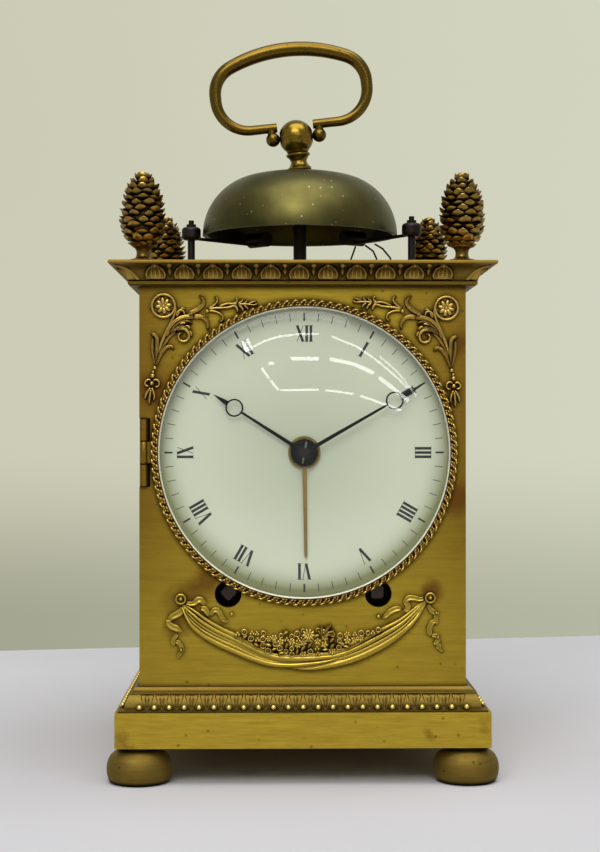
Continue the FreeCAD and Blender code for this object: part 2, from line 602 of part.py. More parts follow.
def make_hinge_pins(bail_pin):
    """Pins of the bezel hinge, of the two door hinges and of the bail."""
    pins = [bail_pin, rod("hinge_pin", "hinge_length", (HINGE_X, HINGE_Y, f"{DIAL_Z} - hinge_length / 2"))]
    pins += [rod("hinge_pin", "hinge_length", (DOOR_HINGE_X, DOOR_HINGE_Y, f"{level} - hinge_length / 2"))
             for level in DOOR_HINGES]
    part(group(pins), "hinge_pins")


def make_cornice():
    """Cornice ring with the plate let into it."""

    def rectangle_of(side, front):
        return (f"body_width + 2 * {side}", f"body_depth + 2 * {front}")

    cove = "(cornice_height - fillet_height - fascia_height)"
    steps = joined([
        box((*rectangle_of("(cornice_foot - 0.8)", "(cornice_foot - 0.8)"), "fillet_height"),
            ("0", "0", CORNICE)),
        frustum(rectangle_of("cornice_foot", "cornice_foot"),
                rectangle_of("(cornice_side - 0.6)", "(cornice_front - 0.6)"), cove,
                ("0", "0", f"{CORNICE} + fillet_height")),
        box((*rectangle_of("cornice_side", "cornice_front"), "fascia_height"),
            ("0", "0", f"{TOP} - fascia_height"))])
    well = box(("2 * top_half_width - 2 * top_ledge_side", "2 * top_half_depth - 2 * top_ledge_front",
                "cornice_height"), ("0", "0", CORNICE))
    rebate = box(("2 * top_half_width", "2 * top_half_depth", "top_plate_height"),
                 ("0", "0", f"{TOP} - top_plate_height"))
    shank = rod("screw_shank + running", "cornice_height", (POST_X, POST_Y, CORNICE))
    head = rod("screw_head + 0.1", "screw_head_height + 0.4",
               (POST_X, POST_Y, f"{TOP} - screw_head_height - 0.4"))
    stud = rod("finial_waist * 0.7 + running", "finial_stud + 0.2",
               (FINIAL_X, FINIAL_Y, f"{TOP} - finial_stud - 0.2"))
    fixing = rod("small_shank + running", "3.4", (*TOP_SCREW, f"{TOP} - top_plate_height - 3.4"))
    part(cut(steps, [well, rebate, four_corners(shank), four_corners(head), four_corners(stud),
                     four_corners(fixing)]), "cornice")

    plate = box(("2 * top_half_width - 0.1", "2 * top_half_depth - 0.1", "top_plate_height"),
                ("0", "0", f"{TOP} - top_plate_height"))
    holes = [rod("hammer_arbor + running", "top_plate_height", (x, y, f"{TOP} - top_plate_height"))
             for x, y in HAMMERS]
    holes.append(rod("pillar_radius * 0.7 + running", "top_plate_height",
                     ("0", "0", f"{TOP} - top_plate_height")))
    holes.append(four_corners(rod("small_shank + running", "top_plate_height",
                                  (*TOP_SCREW, f"{TOP} - top_plate_height"))))
    part(cut(plate, holes), "top_plate")


def make_finials():
    """Pine cone on a stem with a milled ring and a stud into the cornice."""
    end = "(cone_start + cone_height)"
    stud = "finial_waist * 0.7"
    cone = turned([("0", "0 - finial_stud"), (stud, "0 - finial_stud"), (stud, "0"),
                   ("finial_base", "0"), ("finial_base", "finial_ring"),
                   ("finial_waist + 0.5", "finial_ring + 0.4", "-2.6"), ("finial_waist", "finial_ring + 2.6",
                    "-2.2"), ("finial_waist + 0.9", "cone_start - 0.2"),
                   ("finial_waist + 1.4", "cone_start", "+cone_radius * 1.15"),
                   ("cone_radius", "cone_start + cone_height * 0.36", "+cone_height * 1.8"),
                   ("cone_radius * 0.82", "cone_start + cone_height * 0.8", "+cone_radius * 0.85"),
                   ("1.0", f"{end} - 0.4"), ("0", end)],
                  (FINIAL_X, FINIAL_Y, TOP))
    part(four_corners(cone), "pinecone_finials")


# ---------------------------------------------------------------- bell, handle and hammers


def bell_outline(radius, depth, shoulder):
    """Corners of a bell's quarter outline: a round shoulder that meets the crown's broad arc."""
    reach = f"({radius} * {radius} + {depth} * {depth} - 2 * {radius} * {shoulder})"
    crown = f"({reach} / (2 * ({depth} - {shoulder})))"
    share = f"({shoulder} / ({crown} - {shoulder}))"
    meet_r = f"(({radius} - {shoulder}) * (1 + {share}))"
    meet_z = f"(({crown} - {depth}) * {share})"
    return crown, meet_r, meet_z


def make_bell():
    """Bell, its pillar and the handle knob whose stud draws them together."""
    shoulder = "(bell_depth * bell_roundness)"
    crown, meet_r, meet_z = bell_outline("bell_radius", "bell_depth", shoulder)
    inner = ("(bell_radius - bell_wall)", "(bell_depth - bell_wall)", f"({shoulder} - bell_wall)")
    crown_in, meet_r_in, meet_z_in = bell_outline(*inner)
    hole = "(stud_radius + 0.3)"
    outer_top = f"sqrt({crown} * {crown} - {hole} * {hole}) + bell_depth - {crown}"
    inner_top = f"sqrt({crown_in} * {crown_in} - {hole} * {hole}) + {inner[1]} - {crown_in}"
    bell = turned([(inner[0], "0"), ("bell_radius", "0", f"+{shoulder}"), (meet_r, meet_z, f"+{crown}"),
                   (hole, outer_top), (hole, inner_top, f"-{crown_in}"),
                   (meet_r_in, meet_z_in, f"-{inner[2]}")], ("0", "0", BELL))
    part(bell, "bell")

    sag = f"({crown_in} - sqrt({crown_in} * {crown_in} - pillar_collar * pillar_collar))"
    collar_top = f"({CROWN} - bell_wall - {sag} - bell_seat)"
    flange = rod("pillar_collar + 1.2", "1.4", ("0", "0", TOP))
    stem = rod("pillar_radius", f"{collar_top} - ({TOP})", ("0", "0", TOP))
    collar = rod("pillar_collar", "6", ("0", "0", f"{collar_top} - 6"))
    thread = rod("pillar_radius * 0.7", "top_plate_height + 3", ("0", "0", f"{TOP} - top_plate_height - 3"))
    bore = rod("pillar_bore", "4.6", ("0", "0", f"{collar_top} - 4.6"))
    nut_bore = rod("pillar_radius * 0.7 + 0.02", "2.2", ("0", "0", f"{TOP} - top_plate_height - 2.2"))
    nut = cut(rod("pillar_collar", "2.2", ("0", "0", f"{TOP} - top_plate_height - 2.2")), [nut_bore])
    part(group([cut(joined([flange, stem, collar, thread]), [bore]), nut]), "bell_pillar")


def make_knob():
    """Neck, collar and ball of the handle, with flats for the bosses of the bail."""
    collar = "(ball_height - ball_radius + 0.25)"
    flat = "(boss_reach - boss_radius)"
    base = "(neck_base * sin(handle_lean) + 0.03)"
    knob = turned([("0", "0 - 3.9"), ("stud_radius", "0 - 3.9"), ("stud_radius", base), ("neck_base", base),
                   ("neck_base", "1.0", "-3.4"), ("neck_waist", "neck_height", "-3.4"),
                   ("neck_collar - 0.4", f"{collar} - 0.9"), ("neck_collar", f"{collar} - 0.6"),
                   ("neck_collar", f"{collar} - 0.1"), ("neck_collar - 0.7", f"{collar}"),
                   ("sqrt(ball_radius * ball_radius - 16)", "ball_height - 4", "+ball_radius"),
                   ("ball_radius", "ball_height", "+ball_radius"), ("0", "ball_height + ball_radius")])
    trims = [box(("2", "2 * ball_radius", "2 * ball_radius"),
                 (f"{side} * ({flat} + 1)", "0", "ball_height - ball_radius")) for side in ("1", "(0 - 1)")]
    bore = rod("bail_pin_radius", "2 * ball_radius", ("0 - ball_radius", "0", "ball_height"), Vector(1, 0, 0))
    shaped = cut(knob, [*trims, bore])
    part(turned_placement(shaped, ("0", "0", CROWN), BACK * -1, value("handle_lean")), "handle_knob")
    bind(shaped, ".Placement.Rotation.Angle", "handle_lean")
    pin = rod("bail_pin_radius", "2 * (boss_reach + boss_radius * 0.6)",
              ("0 - boss_reach - boss_radius * 0.6", "0", "ball_height"), Vector(1, 0, 0))
    held = group([pin])
    turned_placement(held, ("0", "0", CROWN), BACK * -1, value("handle_lean"))
    bind(held, ".Placement.Rotation.Angle", "handle_lean")
    return held


def make_bail():
    """Bail handle: an oval loop, thickest at the grip, on two bored bosses beside the ball."""
    half = value("bail_half_span")
    low = value("bail_shoulder")
    top = value("bail_rise")
    corner = value("bail_corner")
    upper = value("bail_upper_corner")
    end = value("boss_reach") - value("bail_overhang")
    side_top = low + corner + value("bail_straight")
    drop = side_top - top
    crown = ((half - upper) ** 2 + drop ** 2 - upper ** 2) / (-2 * (upper + drop))
    reach = half - upper
    lean = math.atan2(side_top - (top - crown), reach)
    meet = (reach + upper * math.cos(lean), side_top + upper * math.sin(lean))

    def point(x, z):
        return Vector(x, 0, z)

    def arc(start, centre, radius, angle, finish):
        middle = point(centre[0] + radius * math.cos(angle), centre[1] + radius * math.sin(angle))
        return Part.Arc(point(*start), middle, point(*finish)).toShape()

    def half_path(sign):
        straight = Part.LineSegment(point(sign * end, low), point(sign * (half - corner), low)).toShape()
        turn = arc((sign * (half - corner), low), (sign * (half - corner), low + corner), corner,
                   -math.pi / 4 if sign > 0 else -3 * math.pi / 4, (sign * half, low + corner))
        rise = Part.LineSegment(point(sign * half, low + corner), point(sign * half, side_top)).toShape()
        middle = lean / 2 if sign > 0 else math.pi - lean / 2
        over = arc((sign * half, side_top), (sign * reach, side_top), upper, middle, (sign * meet[0], meet[1]))
        return [straight, turn, rise, over]

    grip = arc((-meet[0], meet[1]), (0, top - crown), crown, math.pi / 2, meet)
    path = Part.Wire([*half_path(-1), grip, *reversed(half_path(1))])
    stations = [((-end, low), (1, 0), "bail_end"), ((-half, low + corner), (0, 1), "bail_side"),
                ((0, top), (1, 0), "bail_top"),
                ((half, low + corner), (0, 1), "bail_side"), ((end, low), (1, 0), "bail_end")]
    rings = [Part.Wire(Part.Circle(point(*at), point(*way), value(radius)).toShape())
             for at, way, radius in stations]
    tube = path.makePipeShell(rings, True, True)
    solids = [tube]
    for sign in (-1, 1):
        middle = point(sign * value("boss_reach"), 0)
        solids.append(Part.makeSphere(value("boss_radius"), middle))
        web_start = point(sign * (value("boss_reach") + 0.2), 0)
        solids.append(Part.makeCylinder(value("bail_end") * 0.9, low, web_start, UP))
    loop = solids[0].fuse(solids[1:]).removeSplitter()
    flat = value("boss_reach") - value("boss_radius") + value("boss_gap")
    loop = loop.cut(Part.makeBox(2 * flat, 8, 2.4 * value("boss_radius"),
                                 Vector(-flat, -4, -1.2 * value("boss_radius"))))
    reach_out = value("boss_reach") + value("boss_radius") * 0.6 + 0.1
    bore = Part.makeCylinder(value("bail_pin_radius") + value("running"), 2 * reach_out,
                             Vector(-reach_out, 0, 0), Vector(1, 0, 0))
    loop = loop.cut(bore)
    lean = value("handle_lean")
    turn = FreeCAD.Rotation(BACK, -lean)
    pivot = Vector(0, 0, value(CROWN)) + turn.multVec(Vector(0, 0, value("ball_height")))
    part(feature(loop, pivot, turn), "bail_handle")


def make_hammer(label, place_at, head_at):
    """Hammer: upright arbor, boss, thin arm under the bell's mouth and a head inside the bell."""
    x, y = (value(text) for text in place_at)
    head_x, head_y = (value(text) for text in head_at)
    mouth = value(BELL)
    arm_z = mouth - value("hammer_drop")
    along = Vector(head_x - x, head_y - y, 0)
    swing = Vector(-along.y, along.x, 0).normalize()
    if swing.dot(Vector(head_x, head_y, 0)) < 0:
        swing = swing * -1
    top = value(TOP)
    foot = top - value("top_plate_height") - 5
    barrel = value("hammer_barrel_height")
    barrel_z = mouth + value("hammer_barrel_lift") - barrel / 2
    head = value("hammer_head_length")
    middle = Vector(head_x, head_y, arm_z + value("hammer_head_radius") - 0.6)
    drum = Part.makeCylinder(value("hammer_barrel"), barrel, Vector(x, y, barrel_z))
    rims = [edge for edge in drum.Edges if edge.Closed]
    pieces = [
        Part.makeCylinder(value("hammer_arbor"), barrel_z - foot, Vector(x, y, foot)),
        Part.makeCylinder(value("hammer_arbor") + 0.8, 0.8, Vector(x, y, top + 0.3)),
        drum.makeFillet(value("hammer_barrel_round"), rims),
        Part.makeCylinder(value("hammer_barrel") * 0.5, 0.8, Vector(x, y, barrel_z + barrel)),
        Part.makeCylinder(value("hammer_arbor") * 0.73, 2.0, Vector(x, y, barrel_z + barrel)),
        Part.makeCylinder(value("hammer_arm"), along.Length, Vector(x, y, arm_z), along),
        Part.makeCylinder(value("hammer_head_radius"), head, middle - swing * (head / 2), swing),
        Part.makeBox(7, 1.6, 1.2, Vector(x - 0.8 if x < 0 else x - 6.2, y - 0.8, foot)),
    ]
    part(feature(pieces[0].fuse(pieces[1:]).removeSplitter()), label)


def make_hammer_springs():
    """Three spring wires that stand on the top plate and bend in under the bell."""
    wire = value("spring_wire")
    top = value(TOP)
    mouth = value(BELL)
    routes = [[(16.0, 10.0, top), (16.1, 10.0, mouth - 6.0), (17.4, 9.2, mouth - 2.3)],
              [(23.6, 3.0, top), (23.6, 3.0, mouth - 6.5), (22.6, 3.6, mouth - 4.2),
               (20.3, 5.0, mouth - 2.3)],
              [(27.9, -1.0, top), (27.6, -1.0, mouth - 6.8), (25.3, 0.2, mouth - 3.8),
               (23.1, 1.6, mouth - 2.3)]]
    wires = []
    for route in routes:
        corners = [Vector(*corner) for corner in route]
        runs = [Part.makeCylinder(wire, (b - a).Length, a, b - a) for a, b in zip(corners, corners[1:])]
        knees = [Part.makeSphere(wire, corner) for corner in corners[1:]]
        wires.append(runs[0].fuse(runs[1:] + knees))
    part(feature(Part.makeCompound(wires)), "hammer_springs")


# ---------------------------------------------------------------- dial, bezel and hands


def make_dial():
    """Enamel dial on a brass plate whose feet reach back to the movement."""
    ring = rod("dial_radius", "dial_thickness", ("dial_x", f"{FRONT} + dial_sink", DIAL_Z), BACK)
    hole = rod("dial_hole", "dial_thickness", ("dial_x", f"{FRONT} + dial_sink", DIAL_Z), BACK)
    part(cut(ring, [hole]), "dial")
    back = f"{FRONT} + dial_sink + dial_thickness"
    plate = rod("dial_radius - dial_plate_step", "dial_plate_thickness", ("dial_x", back, DIAL_Z), BACK)
    pipe_hole = rod("alarm_pipe + running", "dial_plate_thickness", ("dial_x", back, DIAL_Z), BACK)
    feet = [rod("1.2", f"{PLATE_FRONT} - ({back}) - dial_plate_thickness",
                (f"dial_x + {x}", f"{back} + dial_plate_thickness", f"{DIAL_Z} + {z}"), BACK)
            for x, z in (("(0 - 27)", "12"), ("27", "12"), ("0", "(0 - 24)"))]
    part(cut(joined([plate, *feet]), [pipe_hole]), "dial_plate")


def make_bezel():
    """Bezel ring with its hinge leaf, and the domed glass in its rebate."""
    face = f"{FRONT} - bezel_lift"
    ring = turned([("bezel_inner", "0"), ("bezel_outer", "0"), ("bezel_outer", "bezel_height * 0.45", "+1.9"),
                   ("bezel_inner + 0.7", "bezel_height"), ("bezel_inner + 0.2", "bezel_height"),
                   ("bezel_inner + 0.2", "bezel_height - 0.5"), ("bezel_inner", "bezel_height - 0.5")])
    ring.Placement.Rotation = FreeCAD.Rotation(Vector(1, 0, 0), 90)
    place(ring, "dial_x", face, DIAL_Z)
    middle = "(hinge_length / 3)"
    eye = rod("hinge_knuckle", middle, (HINGE_X, HINGE_Y, f"{DIAL_Z} - {middle} / 2"))
    leaf = box(("hinge_out + 1.8", "hinge_leaf", middle),
               (HINGE_X, f"{FRONT} - bezel_lift - hinge_leaf", f"{DIAL_Z} - {middle} / 2"), centred="")
    bore = rod("hinge_pin + running", "hinge_length", (HINGE_X, HINGE_Y, f"{DIAL_Z} - hinge_length / 2"))
    seat = rod("bezel_inner + rebate * 0.6", "glass_thickness + 0.1",
               ("dial_x", f"{face} - bezel_height + 0.5", DIAL_Z), BACK)
    part(cut(joined([ring, eye, leaf]), [bore, seat]), "bezel_ring")

    edge = value("bezel_inner") + value("rebate") * 0.6 - 0.1
    sight = value("bezel_inner") - 0.1
    rise = value("glass_rise")
    thick = value("glass_thickness")
    outer = (sight ** 2 + rise ** 2) / (2 * rise)
    inner = outer - thick
    dome = Part.makeSphere(outer, Vector(0, 0, rise - outer)).cut(
        Part.makeSphere(inner, Vector(0, 0, rise - outer)))
    keep = Part.makeCylinder(sight, rise + 1, Vector(0, 0, -0.02))
    rim = Part.makeCylinder(edge, thick, Vector(0, 0, -thick)).cut(
        Part.makeCylinder(sight - 0.5, thick, Vector(0, 0, -thick)))
    glass = dome.common(keep).fuse(rim).removeSplitter()
    seat_y = value(f"{face} - bezel_height + 0.5") + 0.05
    part(feature(glass, (value("dial_x"), seat_y, value(DIAL_Z)), FreeCAD.Rotation(Vector(1, 0, 0), 90)),
         "bezel_glass")


def hand_shape(reach, moon, boss, bore, thickness):
    """A flat hand along +Z: a tapered stem, an open ring set off centre, and a fine point."""
    ring = value("moon_radius")
    start, waist, point = 0.62, 0.3, 0.22

    def run(corners):
        wire = Part.makePolygon([Vector(x, 0, z) for x, z in corners + corners[:1]])
        return Part.Face(wire).extrude(Vector(0, thickness, 0))

    def disc(radius, z):
        return Part.makeCylinder(radius, thickness, Vector(0, 0, z), BACK)

    pieces = [disc(boss, 0.0)]
    if moon:
        pieces.append(run([(-start, 0), (start, 0), (waist, moon - ring * 0.9), (-waist, moon - ring * 0.9)]))
        pieces.append(disc(ring, moon))
        pieces.append(run([(-waist - 0.3, moon + ring * 0.9), (waist + 0.3, moon + ring * 0.9),
                           (point, reach), (-point, reach)]))
    else:
        pieces.append(run([(-start, 0), (start, 0), (0.4, reach - 1), (0, reach), (-0.4, reach - 1)]))
    shape = pieces[0].fuse(pieces[1:])
    if moon:
        shape = shape.cut(disc(ring * 0.62, moon + ring * 0.16))
    return shape.cut(disc(bore, 0.0)).removeSplitter()


def make_hands():
    """Hour, minute and alarm hands with the collet and taper pin that hold them."""
    centre_x, centre_z = value("dial_x"), value(DIAL_Z)
    thickness = value("hand_thickness")
    levels = {"alarm_hand": ALARM_LEVEL, "hour_hand": HOUR_LEVEL, "minute_hand": MINUTE_LEVEL}
    shapes = {
        "hour_hand": (hand_shape(value("hour_reach"), value("hour_moon"), value("hand_boss"),
                                 value("hour_pipe") + 0.02, thickness), HOUR_ANGLE),
        "minute_hand": (hand_shape(value("minute_reach"), value("minute_moon"), value("hand_boss") * 0.8,
                                   value("centre_arbor") + 0.02, thickness), MINUTE_ANGLE),
    }
    for label, (shape, clock_angle) in shapes.items():
        at = (centre_x, value(levels[label]), centre_z)
        part(feature(shape, at, FreeCAD.Rotation(BACK, clock_angle)), label)

    alarm = hand_shape(value("alarm_reach"), 0, value("alarm_boss"), value("alarm_pipe") - 0.1, thickness)
    length = value(f"{FRONT} + dial_sink + dial_thickness + dial_plate_thickness + 0.5") - value(ALARM_LEVEL)
    pipe = Part.makeCylinder(value("alarm_pipe"), length, Vector(), BACK).cut(
        Part.makeCylinder(value("hour_pipe") + value("running"), length, Vector(), BACK))
    part(feature(alarm.fuse(pipe).cut(
        Part.makeCylinder(value("hour_pipe") + value("running"), length, Vector(), BACK)).removeSplitter(),
        (centre_x, value(ALARM_LEVEL), centre_z), FreeCAD.Rotation(BACK, ALARM_ANGLE)), "alarm_hand")

    shaft = value("centre_arbor")
    collet = Part.makeCylinder(2.0, 0.5, Vector(), BACK).cut(
        Part.makeCylinder(shaft + 0.02, 0.5, Vector(), BACK))
    pin = Part.makeCone(0.26, 0.2, 6.0, Vector(-3.0, -0.5, 0), Vector(1, 0, 0))
    turn = FreeCAD.Rotation(BACK, MINUTE_ANGLE + 40)
    part(feature(Part.makeCompound([collet, pin]), (centre_x, value(MINUTE_LEVEL) - 0.55, centre_z), turn),
         "hand_collet")


def make_spandrels():
    """Cast mounts of the upper corners: rosette, scrolling branch and a hanging drop."""
    for label, sign in (("left_spandrel", -1), ("right_spandrel", 1)):
        thick = value("spandrel_thickness")
        face = value(FRONT)
        corner_x = value("body_width / 2") - 6.65
        corner_z = value(CORNICE) - 5.5

        def bar(corners):
            points = [Vector(sign * (corner_x + x), face, corner_z + z) for x, z in corners]
            return Part.Face(Part.makePolygon(points + points[:1])).extrude(Vector(0, -thick, 0))

        rosette = Part.makeCylinder(3.6, thick * 1.15, Vector(sign * corner_x, face, corner_z), BACK * -1)
        branch = bar([(-2, 3.0), (-4, 4.2), (-14, 3.6), (-26.5, 0.6), (-26.5, -1.4), (-16, -1.0), (-9, -3.4),
                      (-3, -1.4)])
        drop = bar([(-1.6, -2.6), (1.4, -2.6), (3.2, -8.5), (1.2, -15.0), (1.6, -20.5), (0.2, -26.6),
                    (-2.6, -21.0), (-1.6, -15.0), (-4.2, -12.0), (-1.4, -8.0)])
        clear = Part.makeCylinder(value("bezel_outer") + 0.3, 2 * thick,
                                  Vector(value("dial_x"), face, value(DIAL_Z)), BACK * -1)
        part(feature(rosette.fuse([branch, drop]).cut(clear).removeSplitter()), label)


def make_swag():
    """Cast mount under the dial: two buttons, a hanging cloth and its garland."""
    thick = value("swag_thickness")
    face = value(FRONT)
    level = value(BODY) + 24.5
    left, right = -33.5, 35.1
    middle = (left + right) / 2

    def slab(edges, depth):
        return Part.Face(Part.Wire(edges)).extrude(Vector(0, -depth, 0))

    def at(x, z):
        return Vector(x, face, level + z)

    cloth = slab([Part.Arc(at(left + 1.5, -2), at(middle, -19.6), at(right - 1.5, -2)).toShape(),
                  Part.LineSegment(at(right - 1.5, -2), at(right - 4, 2)).toShape(),
                  Part.Arc(at(right - 4, 2), at(middle, -9.5), at(left + 4, 2)).toShape(),
                  Part.LineSegment(at(left + 4, 2), at(left + 1.5, -2)).toShape()], thick)
    buttons = [Part.makeCylinder(3.0, thick * 1.1, at(x, 0), BACK * -1) for x in (left, right)]
    tails = []
    for x, sign in ((left, -1), (right, 1)):
        corners = [at(x - 1.0, -1.5), at(x + 1.0, -1.5), at(x + 1.6 + sign, -16.5), at(x - 1.6 + sign, -16.5)]
        tails.append(Part.Face(Part.makePolygon(corners + corners[:1])).extrude(Vector(0, -thick * 0.5, 0)))
    part(feature(cloth.fuse(buttons + tails).removeSplitter()), "swag_mount")


# ---------------------------------------------------------------- movement


def gear_outline(teeth, module, phase):
    """Outline of a gear in the XZ plane: straight-sided teeth inside the involute, one tooth at phase."""
    pressure = math.radians(25)
    pitch_radius = module * teeth / 2
    base = pitch_radius * math.cos(pressure)
    tip = pitch_radius + 0.72 * module
    root = pitch_radius - 0.95 * module
    half = math.pi / (2 * teeth) * (1 - value("tooth_backlash"))

    def involute(angle):
        return math.tan(angle) - angle

    def half_angle(radius):
        return half + involute(pressure) - involute(math.acos(min(base / max(radius, base), 1)))

    corners = []
    for number in range(teeth):
        middle = phase + 2 * math.pi * number / teeth
        for radius, side in ((root, -1), (tip, -1), (tip, 1), (root, 1)):
            angle = middle + side * half_angle(radius)
            corners.append(Vector(radius * math.cos(angle), 0, radius * math.sin(angle)))
    return Part.makePolygon(corners + corners[:1])


def gear(teeth, module, y, thickness, phase=0.0, bore=0.0, spokes=0, hub=0.0):
    """A gear from depth y, crossed out between hub and rim where it has spokes."""
    blank = Part.Face(gear_outline(teeth, module, phase)).extrude(Vector(0, thickness, 0))
    if spokes:
        outer = module * teeth / 2 - 2.6 * module
        width = max(1.2, outer * 0.11)
        for number in range(spokes):
            middle = 2 * math.pi * (number + 0.5) / spokes
            ends = [(radius, math.pi / spokes - width / radius / 2) for radius in (hub, outer)]
            (near, near_half), (far, far_half) = ends

            def spot(radius, angle):
                return Vector(radius * math.cos(middle + angle), 0, radius * math.sin(middle + angle))

            window = Part.Wire([
                Part.Arc(spot(near, -near_half), spot(near, 0), spot(near, near_half)).toShape(),
                Part.LineSegment(spot(near, near_half), spot(far, far_half)).toShape(),
                Part.Arc(spot(far, far_half), spot(far, 0), spot(far, -far_half)).toShape(),
                Part.LineSegment(spot(far, -far_half), spot(near, -near_half)).toShape()])
            blank = blank.cut(Part.Face(window).extrude(Vector(0, thickness, 0)))
    if bore:
        blank = blank.cut(Part.makeCylinder(bore, thickness, Vector(), BACK))
    blank.translate(Vector(0, y, 0))
    return blank


def shaft(radius, start, end):
    """A round shaft along +Y on the axis."""
    return Part.makeCylinder(radius, end - start, Vector(0, start, 0), BACK)


def meshing_phase(driver_teeth, driven_teeth, direction, driver_phase=0.0):
    """Phase of a gear whose gap takes the driver's tooth on the line between their centres."""
    turned_by = (driver_phase - direction) * driver_teeth / driven_teeth
    return direction + math.pi - turned_by + math.pi / driven_teeth


def away(start, distance, direction):
    """A point (x, z) at a distance and direction from another."""
    return (start[0] + distance * math.cos(direction), start[1] + distance * math.sin(direction))


def train_places():
    """Where every arbor of the movement stands, and the modules that reach between them."""
    centre = (value("dial_x"), value(DIAL_Z))
    going = (value("winding_left_x"), value(WINDING_Z))
    strike = (value("winding_right_x"), value(WINDING_Z))
    barrel_module = 2 * (value("barrel_radius") + 2.1) / BARREL_TEETH
    first_reach = barrel_module * (BARREL_TEETH + PINION_LEAVES) / 2
    span = math.hypot(centre[0] - going[0], centre[1] - going[1])
    second_reach = span * 1.012 - first_reach
    second_module = 2 * second_reach / (SECOND_TEETH + PINION_LEAVES)
    cosine = (first_reach ** 2 + span ** 2 - second_reach ** 2) / (2 * first_reach * span)
    toward = math.atan2(centre[1] - going[1], centre[0] - going[0]) - math.acos(cosine)
    second = away(going, first_reach, toward)
    third = away(centre, CENTRE_MODULE * (CENTRE_TEETH + LEAVES) / 2, THIRD_WAY)
    fourth = away(third, THIRD_MODULE * (THIRD_TEETH + LEAVES) / 2, FOURTH_WAY)
    pins = away(strike, first_reach, PINS_WAY)
    fly = away(pins, PINS_MODULE * (PINS_TEETH + LEAVES) / 2, FLY_WAY)
    minute = away(centre, MOTION_REACH, MINUTE_WAY)
    escape = away(fourth, FOURTH_MODULE * (FOURTH_TEETH + ESCAPE_LEAVES) / 2 + 0.6, ESCAPE_WAY)
    lever = away(escape, LEVER_REACH, BALANCE_WAY)
    balance = away(lever, BALANCE_REACH, BALANCE_WAY)
    return {"centre": centre, "going": going, "strike": strike, "second": second, "third": third,
            "fourth": fourth, "pins": pins, "fly": fly, "minute": minute, "escape": escape,
            "lever": lever, "balance": balance, "barrel_module": barrel_module, "second_module": second_module,
            "toward_second": toward}


def direction_between(start, end):
    return math.atan2(end[1] - start[1], end[0] - start[0])


def make_motion_work(places):
    """Centre arbor and wheel, the minute wheel and the hour wheel behind the dial."""
    front = value(PLATE_FRONT)
    inner = front + value("plate_thickness")
    rear = value(PLATE_REAR)
    centre = places["centre"]
    thick = value("wheel_thickness")
    radius = value("centre_arbor")
    arbor_end = value(MINUTE_LEVEL) - 1.5
    pinion_phase = meshing_phase(SECOND_TEETH, PINION_LEAVES, direction_between(places["second"], centre))
    pinion = gear(PINION_LEAVES, places["second_module"], inner + SECOND_LAYER - 0.4, thick + 0.8, pinion_phase)
    cross_hole = Part.makeCylinder(0.3, 8, Vector(-4, 0, 0), Vector(1, 0, 0))
    cross_hole.rotate(Vector(), BACK, MINUTE_ANGLE + 40)
    cross_hole.translate(Vector(0, value(MINUTE_LEVEL) - 1.05, 0))
    cannon = gear(CANNON_TEETH, MINUTE_MODULE, front - 4.2, 2.0, 0.0)
    arbor = shaft(radius, arbor_end, inner + 1).fuse([
        shaft(value("arbor"), inner, rear - 0.1), shaft(value("pivot"), rear - 0.2, rear + 2.2),
        pinion, cannon]).cut(cross_hole).removeSplitter()
    at = (centre[0], 0, centre[1])
    part(feature(arbor, at), "centre_arbor")
    wheel = gear(CENTRE_TEETH, CENTRE_MODULE, inner + CENTRE_LAYER, thick, 0.0, value("arbor") + 0.02, 5, 3.0)
    collar = shaft(2.0, inner + CENTRE_LAYER - 1.2, inner + CENTRE_LAYER).cut(
        shaft(value("arbor") + 0.02, inner + CENTRE_LAYER - 1.2, inner + CENTRE_LAYER))
    part(feature(wheel.fuse(collar), at), "centre_wheel")

    minute = places["minute"]
    phase = meshing_phase(CANNON_TEETH, MINUTE_TEETH, MINUTE_WAY)
    wheel = gear(MINUTE_TEETH, MINUTE_MODULE, front - 3.6, 0.8, phase)
    small = gear(LEAVES, HOUR_MODULE, front - 6.3, 2.7, 0.0)
    stud_hole = shaft(0.8 + value("running"), front - 6.3, front - 2.8)
    part(feature(wheel.fuse(small).cut(stud_hole).removeSplitter(), (minute[0], 0, minute[1])), "minute_wheel")

    phase = meshing_phase(LEAVES, HOUR_TEETH, MINUTE_WAY + math.pi)
    bore = value("centre_arbor") + value("running")
    wheel = gear(HOUR_TEETH, HOUR_MODULE, front - 6.1, 0.8, phase, bore)
    pipe = shaft(value("hour_pipe"), value(HOUR_LEVEL) - 0.1, front - 5.3).cut(
        shaft(bore, value(HOUR_LEVEL) - 0.1, front - 5.3))
    part(feature(wheel.fuse(pipe).removeSplitter(), at), "hour_wheel")


def spiral_band(inner, outer, turns, width, y, thickness):
    """A flat coiled spring built of half circles, wound from its inner to its outer radius."""
    step = (outer - inner) / (2 * turns)

    def edges(offset):
        found, radius, x = [], inner + offset, 0.0
        for number in range(2 * turns):
            side = 1 if number % 2 == 0 else -1
            far = radius + step
            middle = x + side * (far - radius) / 2
            mean = (radius + far) / 2
            found.append(Part.Arc(Vector(x + side * radius, 0, 0), Vector(middle, 0, side * mean),
                                  Vector(x - side * far, 0, 0)).toShape())
            radius = far
        return found

    inside = edges(0.0)
    outside = edges(thickness)
    caps = [Part.LineSegment(Vector(inner, 0, 0), Vector(inner + thickness, 0, 0)).toShape(),
            Part.LineSegment(inside[-1].lastVertex().Point, outside[-1].lastVertex().Point).toShape()]
    wire = Part.Wire(Part.__sortEdges__([*inside, *outside, *caps]))
    band = Part.Face(wire).extrude(Vector(0, width, 0))
    band.translate(Vector(0, y, 0))
    return band


